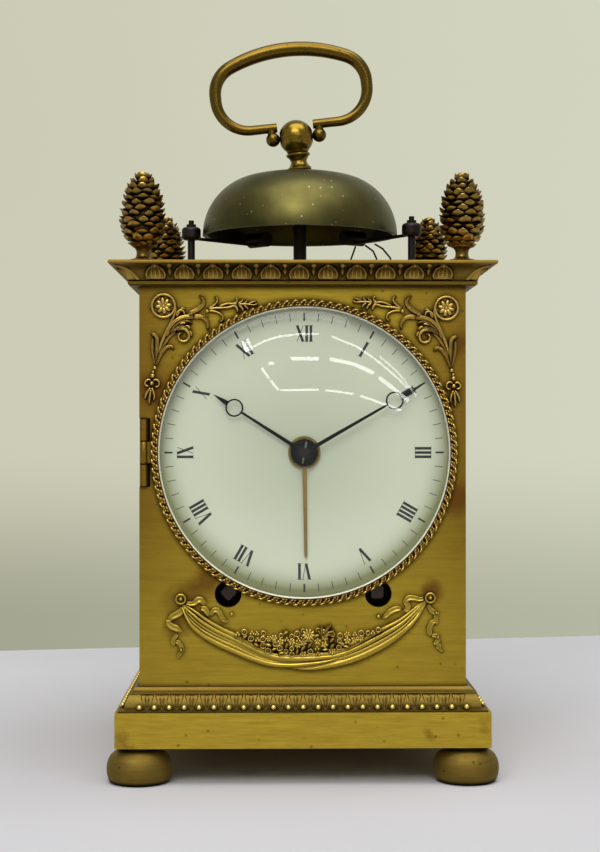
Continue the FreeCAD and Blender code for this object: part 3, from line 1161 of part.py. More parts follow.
def make_barrel(side, places):
    """Spring barrel with its mainspring, and the winding arbor with square and ratchet."""
    front = value(PLATE_FRONT)
    inner = front + value("plate_thickness")
    rear = value(PLATE_REAR)
    at = (places[side][0], 0, places[side][1])
    radius = value("barrel_radius")
    depth = value("barrel_depth")
    start = inner + 2.0
    hub = 2.25
    drum = shaft(radius, start, start + depth).cut(shaft(radius - 0.9, start + 0.9, start + depth - 0.9))
    toothed = gear(BARREL_TEETH, places["barrel_module"], start + depth, 1.6, 0.0)
    bore = shaft(hub, start - 1, start + depth + 3)
    part(feature(drum.fuse(toothed).cut(bore).removeSplitter(), at), f"{side}_barrel")
    spring = spiral_band(4.4, radius - 1.7, 7, depth - 3.4, start + 1.7, 0.5)
    part(feature(spring, at), f"{side}_mainspring")

    square = value("winding_square")
    tip = value(FRONT) + value("square_setback")
    block = Part.makeBox(square, front - 1.6 - tip, square, Vector(-square / 2, tip, -square / 2))
    if side == "going":
        block.rotate(Vector(), BACK, 45)
    arbor = block.common(shaft(square * 0.62, tip, front - 1.6)).fuse([
        shaft(hub - value("running"), front - 1.6, start + depth + 1.6),
        shaft(3.2, start + 1.2, start + depth - 1.2),
        shaft(value("arbor"), start + depth + 1.5, rear - 0.1),
        shaft(value("pivot"), rear - 0.2, rear + 2.2),
        gear(RATCHET_TEETH, RATCHET_MODULE, front - 1.5, 1.2)]).removeSplitter()
    part(feature(arbor, at), f"{side}_arbor")

    sign = -1 if side == "going" else 1
    tip_radius = RATCHET_MODULE * RATCHET_TEETH / 2
    nose = Part.makePolygon([Vector(x, 0, z) for x, z in (
        (-0.2, tip_radius - 0.3), (0.2, tip_radius - 0.3), (0.8, tip_radius + 2.4), (-0.8, tip_radius + 2.4),
        (-0.2, tip_radius - 0.3))])
    claw = Part.Face(nose).extrude(Vector(0, 1.0, 0))
    lever = Part.makeBox(7.6, 1.0, 1.6, Vector(-0.8 if sign > 0 else -6.8, 0, tip_radius + 2.2))
    eye = Part.makeCylinder(1.7, 1.0, Vector(sign * 6.5, 0, tip_radius + 3.0), BACK)
    click = claw.fuse([lever, eye]).cut(
        Part.makeCylinder(0.8 + value("running"), 1.0, Vector(sign * 6.5, 0, tip_radius + 3.0), BACK))
    click.rotate(Vector(), BACK, math.degrees(-math.pi / RATCHET_TEETH))
    click.translate(Vector(at[0], front - 1.4, at[2]))
    part(feature(click.removeSplitter()), f"{side}_click")


def make_train(places):
    """Second, third and fourth wheels of the going train; pin wheel and fly of the strike."""
    inner = value(PLATE_FRONT) + value("plate_thickness")
    rear = value(PLATE_REAR)
    thick = value("wheel_thickness")
    arbor = value("arbor")
    barrel_layer = 2.0 + value("barrel_depth")

    def wheel_and_arbor(label, name, wheel, pinion, pinion_layer, wheel_layer, rear_end=None):
        teeth, module, spokes = wheel
        leaves, pinion_module, phase = pinion
        steel = [shaft(arbor, inner + 0.15, rear - 0.15), shaft(value("pivot"), inner - 1.7, rear + 1.7),
                 gear(leaves, pinion_module, inner + pinion_layer - 0.4, thick + 1.4, phase)]
        brass = gear(teeth, module, inner + wheel_layer, thick, 0.0, arbor + 0.02, spokes, 2.6)
        at = (places[name][0], 0, places[name][1])
        part(feature(Part.makeCompound([steel[0].fuse(steel[1:]).removeSplitter(), brass]), at), label)

    wheel_and_arbor("second_wheel", "second", (SECOND_TEETH, places["second_module"], 5),
                    (PINION_LEAVES, places["barrel_module"],
                     meshing_phase(BARREL_TEETH, PINION_LEAVES, places["toward_second"])),
                    barrel_layer, SECOND_LAYER)
    wheel_and_arbor("third_wheel", "third", (THIRD_TEETH, THIRD_MODULE, 5),
                    (LEAVES, CENTRE_MODULE, meshing_phase(CENTRE_TEETH, LEAVES, THIRD_WAY)),
                    CENTRE_LAYER, THIRD_LAYER)
    wheel_and_arbor("fourth_wheel", "fourth", (FOURTH_TEETH, FOURTH_MODULE, 5),
                    (LEAVES, THIRD_MODULE, meshing_phase(THIRD_TEETH, LEAVES, FOURTH_WAY)),
                    THIRD_LAYER, FOURTH_LAYER)
    wheel_and_arbor("pin_wheel", "pins", (PINS_TEETH, PINS_MODULE, 5),
                    (PINION_LEAVES, places["barrel_module"],
                     meshing_phase(BARREL_TEETH, PINION_LEAVES, PINS_WAY)),
                    barrel_layer, PINS_LAYER)

    steel = shaft(arbor, inner + 0.15, rear - 0.15).fuse([
        shaft(value("pivot"), inner - 1.7, rear + 1.7),
        gear(LEAVES, PINS_MODULE, inner + PINS_LAYER - 0.4, thick + 0.8,
             meshing_phase(PINS_TEETH, LEAVES, FLY_WAY)),
        Part.makeBox(13.0, 14.0, 0.5, Vector(-6.5, inner + 4, -0.25))]).removeSplitter()
    part(feature(steel, (places["fly"][0], 0, places["fly"][1])), "fly")


def make_escapement(places):
    """Escape wheel, pallet lever, balance and hairspring behind the rear plate, under a cock."""
    rear = value(PLATE_REAR) + value("plate_thickness")
    inner = value(PLATE_FRONT) + value("plate_thickness")
    escape, lever, balance = places["escape"], places["lever"], places["balance"]
    lean = direction_between(escape, balance)
    cock_face = rear + COCK_GAP

    teeth = 15
    radius = 4.6
    star = []
    for number in range(teeth):
        angle = 2 * math.pi * number / teeth
        for distance, turn in ((radius * 0.74, -0.12), (radius, 0.0), (radius, 0.05), (radius * 0.74, 0.1)):
            star.append(Vector(distance * math.cos(angle + turn), 0, distance * math.sin(angle + turn)))
    wheel = Part.Face(Part.makePolygon(star + star[:1])).extrude(Vector(0, 0.5, 0))
    wheel.translate(Vector(0, rear + 2.0, 0))
    windows = [Part.makeCylinder(0.95, 0.5, Vector(2.1 * math.cos(a), rear + 2.0, 2.1 * math.sin(a)), BACK)
               for a in (0, math.pi / 2, math.pi, 3 * math.pi / 2)]
    steel = [shaft(0.6, inner + 0.15, cock_face - 0.15), shaft(0.3, inner - 1.0, cock_face + 1.0),
             gear(ESCAPE_LEAVES, FOURTH_MODULE, inner + FOURTH_LAYER - 0.3, value("wheel_thickness") + 0.6)]
    at = (escape[0], 0, escape[1])
    part(feature(wheel.cut(windows[0].fuse(windows[1:])).fuse(steel).removeSplitter(), at), "escape_wheel")

    fork = Part.makeBox(BALANCE_REACH + 3.2 - 1.1, 0.6, 1.2, Vector(-3.2, rear + 2.8, -0.6))
    arms = Part.makeBox(1.4, 0.6, 7.0, Vector(-3.4, rear + 2.8, -3.5))
    staff = shaft(0.45, rear + 0.15, cock_face - 0.15).fuse(shaft(0.25, rear - 1.0, cock_face + 1.0))
    anchor = fork.fuse([arms, staff]).removeSplitter()
    anchor.rotate(Vector(), BACK, -math.degrees(lean))
    part(feature(anchor, (lever[0], 0, lever[1])), "pallet_lever")

    level = rear + 4.6
    rim = shaft(8.0, level, level + 1.0).cut(shaft(7.0, level, level + 1.0))
    bars = [Part.makeBox(15.0, 0.8, 1.0, Vector(-7.5, level + 0.1, -0.5)),
            Part.makeBox(1.0, 0.8, 15.0, Vector(-0.5, level + 0.1, -7.5))]
    staff = shaft(0.6, rear + 0.15, cock_face - 0.15).fuse(
        [shaft(0.3, rear - 1.0, cock_face + 1.0), shaft(1.5, level - 0.6, level + 1.4),
         shaft(1.86, level + 1.9, level + 2.6)])
    at = (balance[0], 0, balance[1])
    part(feature(rim.fuse([*bars, staff]).removeSplitter(), at), "balance_wheel")
    part(feature(spiral_band(1.9, 5.6, 5, 0.4, level + 2.0, 0.12), at), "hairspring")

    thick = 1.6
    ends = [(escape[0], escape[1] + 7.2), (balance[0], balance[1] - 10.6)]
    pieces = []
    for x, z in ends:
        pieces.append(Part.makeCylinder(2.2, COCK_GAP + thick, Vector(x, rear, z), BACK))
    length = ends[0][1] - ends[1][1]
    spine = Part.makeBox(length, thick, 4.4, Vector(0, 0, -2.2))
    spine.rotate(Vector(), BACK, -math.degrees(direction_between(ends[0], ends[1])))
    spine.translate(Vector(ends[0][0], rear + COCK_GAP, ends[0][1]))
    cock = spine.fuse(pieces)
    for x, z, hole in ((*escape, 0.38), (*lever, 0.33), (*balance, 0.38)):
        cock = cock.fuse(Part.makeCylinder(2.2, thick, Vector(x, rear + COCK_GAP, z), BACK))
        cock = cock.cut(Part.makeCylinder(hole, thick, Vector(x, rear + COCK_GAP, z), BACK))
    for x, z in ends:
        cock = cock.cut(Part.makeCylinder(value("small_shank") + value("running"), COCK_GAP + thick,
                                          Vector(x, rear, z), BACK))
    part(feature(cock.removeSplitter()), "balance_cock")
    return ends


def make_plates(places, cock_ends):
    """Movement plates with pivot holes, their pillars, the seat brackets and the small screws."""
    front = value(PLATE_FRONT)
    thick = value("plate_thickness")
    rear = value(PLATE_REAR)
    half = value("plate_half_width")
    low, high = value("plate_bottom"), value("plate_top")
    inset = value("pillar_inset")
    run = value("running")
    corners = [(x, z) for x in (-half + inset, half - inset) for z in (low + inset, high - inset)]

    def blank(y):
        return Part.makeBox(2 * half, thick, high - low, Vector(-half, y, low))

    def hole(x, z, radius, y):
        return Part.makeCylinder(radius, thick, Vector(x, y, z), BACK)

    pivots = [places[name] for name in ("second", "third", "fourth", "pins", "fly")]
    front_holes = [hole(*spot, value("pivot") + run, front) for spot in pivots]
    front_holes.append(hole(*places["centre"], value("centre_arbor") + run, front))
    front_holes.append(hole(*places["escape"], 0.35, front))
    front_holes += [hole(*places[name], 2.25, front) for name in ("going", "strike")]
    front_holes += [hole(x, z, value("small_shank") + run, front) for x, z in corners]
    studs = [Part.makeCylinder(0.8, 6.6, Vector(places["minute"][0], front - 6.6, places["minute"][1]), BACK)]
    for name, sign in (("going", -1), ("strike", 1)):
        eye = Vector(sign * 6.5, 0, RATCHET_MODULE * RATCHET_TEETH / 2 + 3.0)
        eye = FreeCAD.Rotation(BACK, math.degrees(-math.pi / RATCHET_TEETH)).multVec(eye)
        studs.append(Part.makeCylinder(0.8, 2.0, Vector(places[name][0] + eye.x, front - 2.0,
                                                       places[name][1] + eye.z), BACK))
    plate = blank(front).cut(front_holes[0].fuse(front_holes[1:])).fuse(studs)
    part(feature(plate.removeSplitter()), "front_plate")

    rear_holes = [hole(*spot, value("pivot") + run, rear) for spot in pivots]
    rear_holes += [hole(*places[name], value("pivot") + run, rear) for name in ("centre", "going", "strike")]
    rear_holes += [hole(x, z, value("small_shank") + run, rear) for x, z in corners]
    rear_holes += [hole(x, z, value("small_shank") + run, rear) for x, z in cock_ends]
    rear_holes.append(hole(*places["escape"], 2.0, rear))
    rear_holes += [hole(*places["lever"], 0.3, rear), hole(*places["balance"], 0.35, rear)]
    plate = blank(rear).cut(rear_holes[0].fuse(rear_holes[1:]))
    part(feature(plate.removeSplitter()), "rear_plate")

    bore = value("small_shank") + run
    posts = []
    for x, z in corners:
        post = Part.makeCylinder(value("plate_pillar"), rear - front - thick, Vector(x, front + thick, z), BACK)
        for y in (front + thick, rear - 5):
            post = post.cut(Part.makeCylinder(bore, 5, Vector(x, y, z), BACK))
        posts.append(post)
    part(feature(Part.makeCompound(posts)), "plate_pillars")

    floor = value(f"{SLAB} + slab_height")
    depth = value("seat_depth")
    seat_x = half - inset
    brackets, screws = [], []

    def small_screw(at, way, length):
        head_height = value("small_head_height")
        head = Part.makeCylinder(value("small_head"), head_height, at, way)
        shank = Part.makeCylinder(value("small_shank"), head_height + length, at, way)
        return head.fuse(shank).removeSplitter()

    for y, inward in ((front, 1), (rear + thick, -1)):
        for x in (-seat_x, seat_x):
            start = min(y, y + inward * depth)
            foot = Part.makeBox(8, depth, low - floor, Vector(x - 4, start, floor))
            bored = foot.cut(Part.makeCylinder(bore, low - floor, Vector(x, y + inward * depth / 2, floor)))
            brackets.append(bored)
            at = Vector(x, y + inward * depth / 2,
                        value(f"{SLAB} + slab_height - slab_floor - small_head_height"))
            screws.append(small_screw(at, UP, value("slab_floor") + 3.5))
    part(feature(Part.makeCompound(brackets)), "movement_seats")

    head = value("small_head_height")
    for x, z in corners:
        screws.append(small_screw(Vector(x, front - head, z), BACK, thick + 4.5))
        screws.append(small_screw(Vector(x, rear + thick + head, z), BACK * -1, thick + 4.5))
    for x, z in cock_ends:
        screws.append(small_screw(Vector(x, rear + thick + COCK_GAP + 1.6 + head, z), BACK * -1,
                                  COCK_GAP + 1.6 + thick * 0.9))
    top_x, top_y = (value(text) for text in TOP_SCREW)
    for x in (-top_x, top_x):
        for y in (-top_y, top_y):
            screws.append(small_screw(Vector(x, y, value(TOP) + head), UP * -1, value("top_plate_height") + 3))
    part(feature(Part.makeCompound(screws)), "small_screws")


def check_and_write():
    """Stop on any failed object or unsound shape, then write each sub-part's file."""
    doc.recompute()
    for thing in doc.Objects:
        if "Invalid" in thing.State or "Error" in thing.State:
            raise RuntimeError(f"{thing.Label} failed: {thing.State}")
    for label in PARTS:
        shape = doc.getObjectsByLabel(label)[0].Shape
        if shape.isNull() or not shape.isValid() or not shape.Solids:
            raise RuntimeError(f"{label} has no sound shape")
    os.makedirs("parts", exist_ok=True)
    for label in PARTS:
        shape = doc.getObjectsByLabel(label)[0].Shape
        shape.exportStep(f"parts/{label}.step")
        print(f"{label}: {len(shape.Solids)} solid(s), {shape.Volume:.1f} mm3")


make_feet()
make_plinth()
make_posts_and_screws()
make_panels()
make_rear()
make_cornice()
make_finials()
make_bell()
make_hinge_pins(make_knob())
make_bail()
for hammer_label, hammer_place, hammer_head in zip(("left_hammer", "right_hammer"), HAMMERS, HAMMER_HEADS):
    make_hammer(hammer_label, hammer_place, hammer_head)
make_hammer_springs()
make_dial()
make_bezel()
make_hands()
make_spandrels()
make_swag()
arbors = train_places()
make_motion_work(arbors)
make_barrel("going", arbors)
make_barrel("strike", arbors)
make_train(arbors)
make_plates(arbors, make_escapement(arbors))
check_and_write()
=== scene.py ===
"""The looks of a gilt carriage clock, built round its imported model.

Places are in millimetres until they meet a mesh, +Z is up and -Y points out of the dial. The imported
solids keep their shapes, and chased ornament stands in for the plain solids that only held its place.
"""

import logging
import math
import random
from contextlib import contextmanager
from dataclasses import dataclass
from enum import Enum
from typing import Callable, Iterator, Sequence

import bpy
from mathutils import Matrix, Vector


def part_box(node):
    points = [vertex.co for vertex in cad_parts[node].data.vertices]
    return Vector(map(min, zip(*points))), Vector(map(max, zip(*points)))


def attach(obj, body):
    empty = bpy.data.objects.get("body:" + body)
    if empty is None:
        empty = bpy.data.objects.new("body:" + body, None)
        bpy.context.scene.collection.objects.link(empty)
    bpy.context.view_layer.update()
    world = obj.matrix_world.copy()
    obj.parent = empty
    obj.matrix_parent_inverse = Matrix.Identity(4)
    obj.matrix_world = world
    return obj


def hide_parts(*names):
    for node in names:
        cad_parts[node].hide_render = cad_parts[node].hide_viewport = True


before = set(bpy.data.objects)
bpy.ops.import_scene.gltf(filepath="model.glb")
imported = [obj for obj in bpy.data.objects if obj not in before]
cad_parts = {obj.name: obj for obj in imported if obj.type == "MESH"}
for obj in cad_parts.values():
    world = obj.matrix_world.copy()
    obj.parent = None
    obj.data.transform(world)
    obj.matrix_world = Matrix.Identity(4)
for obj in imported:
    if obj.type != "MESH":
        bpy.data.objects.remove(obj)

Piece = bpy.types.Object
Socket = bpy.types.NodeSocket
Sockets = bpy.types.bpy_prop_collection
Colour = tuple[float, float, float, float]
Pair = tuple[float, float]
Triple = tuple[float, float, float]

MM = 0.001
PANEL_Y = -50.0
DIAL = (0.4, PANEL_Y, 90.5)
WELD = 0.002 * MM
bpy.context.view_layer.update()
LOG = logging.getLogger("carriage_clock")


class Slot(Enum):
    """Names of material slots, one passed with each finished piece."""

    CASE = "gilt_case"
    MOUNTS = "gilt_mounts"
    BLUE = "blued_steel"
    ENAMEL = "white_enamel"
    GLASS = "clear_glass"


def mm(*numbers: float) -> Vector:
    """A place in metres from millimetres."""
    return Vector(numbers) * MM


def move(*place: float) -> Matrix:
    """A move in millimetres."""
    return Matrix.Translation(mm(*place))


def turn(angle: float, axis: str) -> Matrix:
    """A turn about an axis, in radians."""
    return Matrix.Rotation(angle, 4, axis)


def node_box(name: str) -> tuple[Vector, Vector]:
    """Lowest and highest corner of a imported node, in millimetres."""
    low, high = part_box(name)
    return Vector(low) / MM, Vector(high) / MM


# ---------------------------------------------------------------------------------------------------
# The bench: operators that act on one piece at a time


def take(*pieces: Piece) -> None:
    """Select only these pieces, the last one active."""
    bpy.ops.object.select_all(action="DESELECT")
    for piece in pieces:
        piece.select_set(True)
    bpy.context.view_layer.objects.active = pieces[-1]


@contextmanager
def editing(piece: Piece) -> Iterator[None]:
    """Work on the whole of one piece in edit mode.

    Args:
        piece: The piece to shape.
    """
    take(piece)
    bpy.ops.object.mode_set(mode="EDIT")
    bpy.ops.mesh.select_mode(type="FACE")
    bpy.ops.mesh.select_all(action="SELECT")
    yield
    bpy.ops.object.mode_set(mode="OBJECT")


def added(add: Callable[..., object], stretch: Sequence[float] = (1, 1, 1), **settings: object) -> Piece:
    """Add a primitive that the caller goes on to shape.

    Args:
        add: The operator that makes it.
        stretch: How it is stretched along each axis.
        settings: The operator's settings.

    Returns:
        The primitive, with its place, turn and size in its mesh.
    """
    bpy.ops.object.select_all(action="DESELECT")
    add(**settings)
    piece = bpy.context.object
    piece.scale = stretch
    bpy.ops.object.transform_apply(location=True, rotation=True, scale=True)
    return piece


def smooth(piece: Piece, degrees: float = 40.0) -> Piece:
    """Shade a piece smooth, except across its sharp edges.

    Args:
        piece: The piece to shade.
        degrees: The sharpest edge that is still smoothed.

    Returns:
        The same piece.
    """
    take(piece)
    bpy.ops.object.shade_smooth_by_angle(angle=math.radians(degrees))
    return piece


def outward(piece: Piece) -> Piece:
    """Merge doubled points and turn every face outwards.

    Args:
        piece: The piece to mend.

    Returns:
        The same piece.
    """
    with editing(piece):
        bpy.ops.mesh.remove_doubles(threshold=WELD)
        bpy.ops.mesh.normals_make_consistent(inside=False)
    return piece


def without_faces(piece: Piece, unwanted: Callable[[bpy.types.MeshPolygon], bool]) -> Piece:
    """Delete the faces that a test picks out.

    Args:
        piece: The piece to open.
        unwanted: The test of one face.

    Returns:
        The same piece.
    """
    with editing(piece):
        bpy.ops.mesh.select_all(action="DESELECT")
        bpy.ops.object.mode_set(mode="OBJECT")
        for face in piece.data.polygons:
            face.select = unwanted(face)
        bpy.ops.object.mode_set(mode="EDIT")
        bpy.ops.mesh.delete(type="FACE")
    return piece


def linked(name: str, content: bpy.types.ID, stand: Matrix | None = None) -> Piece:
    """Put a new object into the scene.

    Args:
        name: The object's name.
        content: Its mesh, lamp or lens.
        stand: Where it stands, if not at the origin.

    Returns:
        The object.
    """
    thing = bpy.data.objects.new(name, content)
    bpy.context.scene.collection.objects.link(thing)
    thing.matrix_world = stand or Matrix()
    return thing


def copied(model: Piece, place: Matrix) -> Piece:
    """A copy of a model with its own mesh, moved by a matrix.

    Args:
        model: What is copied.
        place: Where the copy goes, which may mirror it.

    Returns:
        The copy.
    """
    copy = linked(model.name, model.data.copy())
    copy.data.transform(place)
    if place.determinant() < 0:
        copy.data.flip_normals()
    return copy


def copies(model: Piece, places: Sequence[Matrix]) -> list[Piece]:
    """Copies of a model at several places, in its stead.

    Args:
        model: What is copied, and then removed.
        places: Where each copy goes.

    Returns:
        The copies.
    """
    pieces = [copied(model, place) for place in places]
    bpy.data.objects.remove(model)
    return pieces


def joined(pieces: Sequence[Piece], name: str) -> Piece:
    """Join several meshes into one named piece.

    Args:
        pieces: The meshes to join.
        name: The name of the whole.

    Returns:
        The whole.
    """
    take(*pieces)
    if len(pieces) > 1:
        bpy.ops.object.join()
    whole = bpy.context.view_layer.objects.active
    whole.name = whole.data.name = name
    return whole


def raised(piece: Piece, levels: Sequence[Triple], at: Triple = (0, 0, 0)) -> Piece:
    """Draw a flat piece up, step by step.

    Args:
        piece: The disc or plate at the first level.
        levels: Half width, half depth and height of each step, from the bottom up.
        at: Where height zero of the axis stands.

    Returns:
        The closed solid.
    """
    half_x, half_y, height = levels[0]
    with editing(piece):
        for wide, deep, high in levels[1:]:
            bpy.ops.mesh.extrude_region_move(TRANSFORM_OT_translate={"value": (0, 0, (high - height) * MM)})
            bpy.ops.transform.resize(value=(wide / half_x, deep / half_y, 1),
                                     center_override=mm(at[0], at[1], at[2] + high))
            half_x, half_y, height = wide, deep, high
    return outward(piece)


def turned(outline: Sequence[Pair], at: Triple = (0, 0, 0), segments: int = 48) -> Piece:
    """A turned solid about +Z.

    Args:
        outline: Radius and height of each step, from the bottom up.
        at: Where height zero of the axis stands.
        segments: Faces round the piece.

    Returns:
        The closed solid.
    """
    radius, height = outline[0]
    disc = added(bpy.ops.mesh.primitive_circle_add, vertices=segments, radius=radius * MM, fill_type="NGON",
                 location=mm(at[0], at[1], at[2] + height))
    return raised(disc, [(wide, wide, high) for wide, high in outline], at)


def is_disc(face: bpy.types.MeshPolygon) -> bool:
    """Whether a face is one of a turned piece's flat ends."""
    return len(face.vertices) > 8


def frame_moulding(levels: Sequence[Triple]) -> Piece:
    """A rectangular moulding that runs round an open middle.

    Args:
        levels: Half width, half depth and height of each step, which ends where it starts.

    Returns:
        The closed moulding.
    """
    half_x, half_y, height = levels[0]

    def across_the_middle(face: bpy.types.MeshPolygon) -> bool:
        """Whether a face closes the middle at the level where the steps meet."""
        centred = face.center.xy.length < 5 * WELD
        return centred and abs(face.center.z - height * MM) < WELD / 2

    plate = added(bpy.ops.mesh.primitive_plane_add, (half_x * MM, half_y * MM, 1), size=2,
                  location=mm(0, 0, height))
    solid = raised(plate, [*levels, levels[0]])
    return smooth(outward(without_faces(solid, across_the_middle)), 35)


def bar(low: Triple, high: Triple, bevel: float, segments: int = 2) -> Piece:
    """A block between two corners with softened edges.

    Args:
        low: Its lowest corner.
        high: Its highest corner.
        bevel: Width of the softened edges.
        segments: Steps across an edge.

    Returns:
        The block.
    """
    middle = [(a + b) / 2 for a, b in zip(low, high)]
    piece = added(bpy.ops.mesh.primitive_cube_add, mm(*(b - a for a, b in zip(low, high))), size=1,
                  location=mm(*middle))
    with editing(piece):
        bpy.ops.mesh.select_mode(type="EDGE")
        bpy.ops.mesh.select_all(action="SELECT")
        bpy.ops.mesh.bevel(offset=bevel * MM, segments=segments)
    return piece


def ball(radii: Triple | float, at: Triple = (0, 0, 0), segments: int = 12, rings: int = 8) -> Piece:
    """A rounded bead, stretched to its three radii where it has three.

    Args:
        radii: One radius, or one along each axis.
        at: Its middle.
        segments: Faces round it.
        rings: Faces from pole to pole.

    Returns:
        The bead.
    """
    size = radii if isinstance(radii, tuple) else (radii, radii, radii)
    piece = added(bpy.ops.mesh.primitive_uv_sphere_add, mm(*size), segments=segments, ring_count=rings,
                  radius=1, location=mm(*at))
    bpy.ops.object.shade_smooth()
    return piece


def hoop(radius: float, wire: float, at: Triple = (0, 0, 0), segments: int = 24, around: int = 8) -> Piece:
    """A ring of round wire that faces the front.

    Args:
        radius: Radius of its middle line.
        wire: Radius of the wire.
        at: Its middle.
        segments: Faces round the ring.
        around: Faces round the wire.

    Returns:
        The ring.
    """
    piece = added(bpy.ops.mesh.primitive_torus_add, major_radius=radius * MM, minor_radius=wire * MM,
                  major_segments=segments, minor_segments=around, location=mm(*at),
                  rotation=(math.pi / 2, 0, 0))
    bpy.ops.object.shade_smooth()
    return piece


def spindle(levels: Sequence[Pair]) -> Piece:
    """A round member of changing thickness that runs up +Z.

    Args:
        levels: Height and radius at each point of its line.

    Returns:
        The closed solid.
    """
    bpy.ops.object.select_all(action="DESELECT")
    bpy.ops.curve.primitive_nurbs_path_add()
    piece = bpy.context.object
    curve = piece.data
    curve.splines.clear()
    spline = curve.splines.new("NURBS")
    spline.points.add(len(levels) - 1)
    for point, (height, radius) in zip(spline.points, levels):
        point.co = (*mm(0, 0, height), 1)
        point.radius = radius
    spline.order_u = min(4, len(levels))
    spline.use_endpoint_u = True
    spline.resolution_u = 5
    curve.bevel_depth = MM
    curve.bevel_resolution = 3
    curve.use_fill_caps = True
    take(piece)
    bpy.ops.object.convert(target="MESH")
    return smooth(outward(bpy.context.object), 60)


def relief(columns: int, rows: int, shape: Callable[[float, float], Vector], facing: Vector,
           wall: float = 0.0) -> Piece:
    """A chased surface: a grid carried onto a shape.

    Args:
        columns: Faces across.
        rows: Faces along.
        shape: Place in millimetres for -1 to 1 across and 0 to 1 along.
        facing: The way that its front looks.
        wall: Thickness behind the surface, in millimetres.

    Returns:
        The smooth surface, closed behind where it has a wall.
    """
    piece = added(bpy.ops.mesh.primitive_grid_add, x_subdivisions=columns, y_subdivisions=rows, size=2)
    for vertex in piece.data.vertices:
        vertex.co = shape(vertex.co.x, (vertex.co.y + 1) / 2) * MM
    with editing(piece):
        bpy.ops.mesh.remove_doubles(threshold=WELD / 2)
    if sum((face.normal.dot(facing) * face.area for face in piece.data.polygons)) < 0:
        piece.data.flip_normals()
    if wall:
        backing = piece.modifiers.new("Backing", "SOLIDIFY")
        backing.thickness = wall * MM
        backing.offset = -1.0
        bpy.ops.object.modifier_apply(modifier=backing.name)
    bpy.ops.object.shade_smooth()
    return piece


def along(values: Sequence[float], t: float) -> float:
    """The value between evenly spaced values at a share of the way.

    Args:
        values: The values at even steps.
        t: Share of the way, from 0 to 1.

    Returns:
        The value there.
    """
    spot = t * (len(values) - 1)
    step = min(int(spot), len(values) - 2)
    return values[step] + (values[step + 1] - values[step]) * (spot - step)


# ---------------------------------------------------------------------------------------------------
# Shared effects and finishes


class Wiring:
    """Adds and joins the nodes of one tree."""

    def __init__(self, tree: bpy.types.NodeTree) -> None:
        """Start on an empty tree."""
        self.tree = tree
        tree.nodes.clear()

    def add(self, kind: str, inputs: dict[str, object] | None = None, **settings: object) -> bpy.types.Node:
        """Add a node.

        Args:
            kind: The node's type, without its ShaderNode prefix where it is a shader node.
            inputs: Numbers, colours or other nodes' outputs for its sockets, by name or index.
            settings: The node's own properties.

        Returns:
            The new node.
        """
        node = self.tree.nodes.new(kind if kind.startswith("Node") else "ShaderNode" + kind)
        for name, setting in settings.items():
            setattr(node, name, setting)
        for key, entry in (inputs or {}).items():
            if isinstance(entry, Socket):
                self.tree.links.new(entry, node.inputs[key])
            else:
                node.inputs[key].default_value = entry
        return node

    def sum(self, operation: str, first: object, second: object, clamp: bool = False) -> Socket:
        """The result of one sum on two numbers or outputs."""
        return self.add("Math", {0: first, 1: second}, operation=operation, use_clamp=clamp).outputs[0]

    def times(self, first: object, second: object) -> Socket:
        """One number or output times another."""
        return self.sum("MULTIPLY", first, second)

    def span(self, source: Socket, low: object, high: object, to_low: float = 0.0, to_high: float = 1.0,
             **settings: object) -> Socket:
        """A value carried from one span to another, and held at its ends."""
        return self.add("MapRange", {"Value": source, "From Min": low, "From Max": high, "To Min": to_low,
                                     "To Max": to_high}, **settings).outputs[0]

    def mix(self, share: object, first: object, second: object) -> Socket:
        """Two colours mixed by a share."""
        return self.add("Mix", {0: share, 6: first, 7: second}, data_type="RGBA").outputs[2]

    def place(self) -> Socket:
        """Where a point of the piece lies, in metres."""
        return self.add("TexCoord").outputs["Object"]

    def split(self, place: Socket) -> Sockets:
        """The three numbers of a place."""
        return self.add("SeparateXYZ", {"Vector": place}).outputs

    def noise(self, place: Socket, **settings: object) -> Socket:
        """The cloudiness of a noise at a place."""
        return self.add("TexNoise", {"Vector": place, **settings}).outputs["Fac"]

    def apply(self, group: Callable[[], bpy.types.NodeTree], **settings: float) -> Sockets:
        """The outputs of a shared effect with its inputs set."""
        return self.add("Group", settings, node_tree=group()).outputs

    def skin(self, colour: Socket, rough: Socket, height: Socket, grain: Pair, **more: float) -> Socket:
        """A coloured surface with a fine grain.

        Args:
            colour: Its colour.
            rough: Its roughness.
            height: The height of its grain.
            grain: Strength and depth in metres of the grain.
            more: Other inputs of the shader, with underscores for spaces.

        Returns:
            The shader's output.
        """
        bump = self.add("Bump", {"Strength": grain[0], "Distance": grain[1], "Height": height})
        inputs = {"Base Color": colour, "Roughness": rough, "Normal": bump.outputs[0]}
        inputs.update({name.replace("_", " "): number for name, number in more.items()})
        return self.add("BsdfPrincipled", inputs).outputs[0]


Wire = Callable[[Wiring, Sockets], dict[str, Socket]]


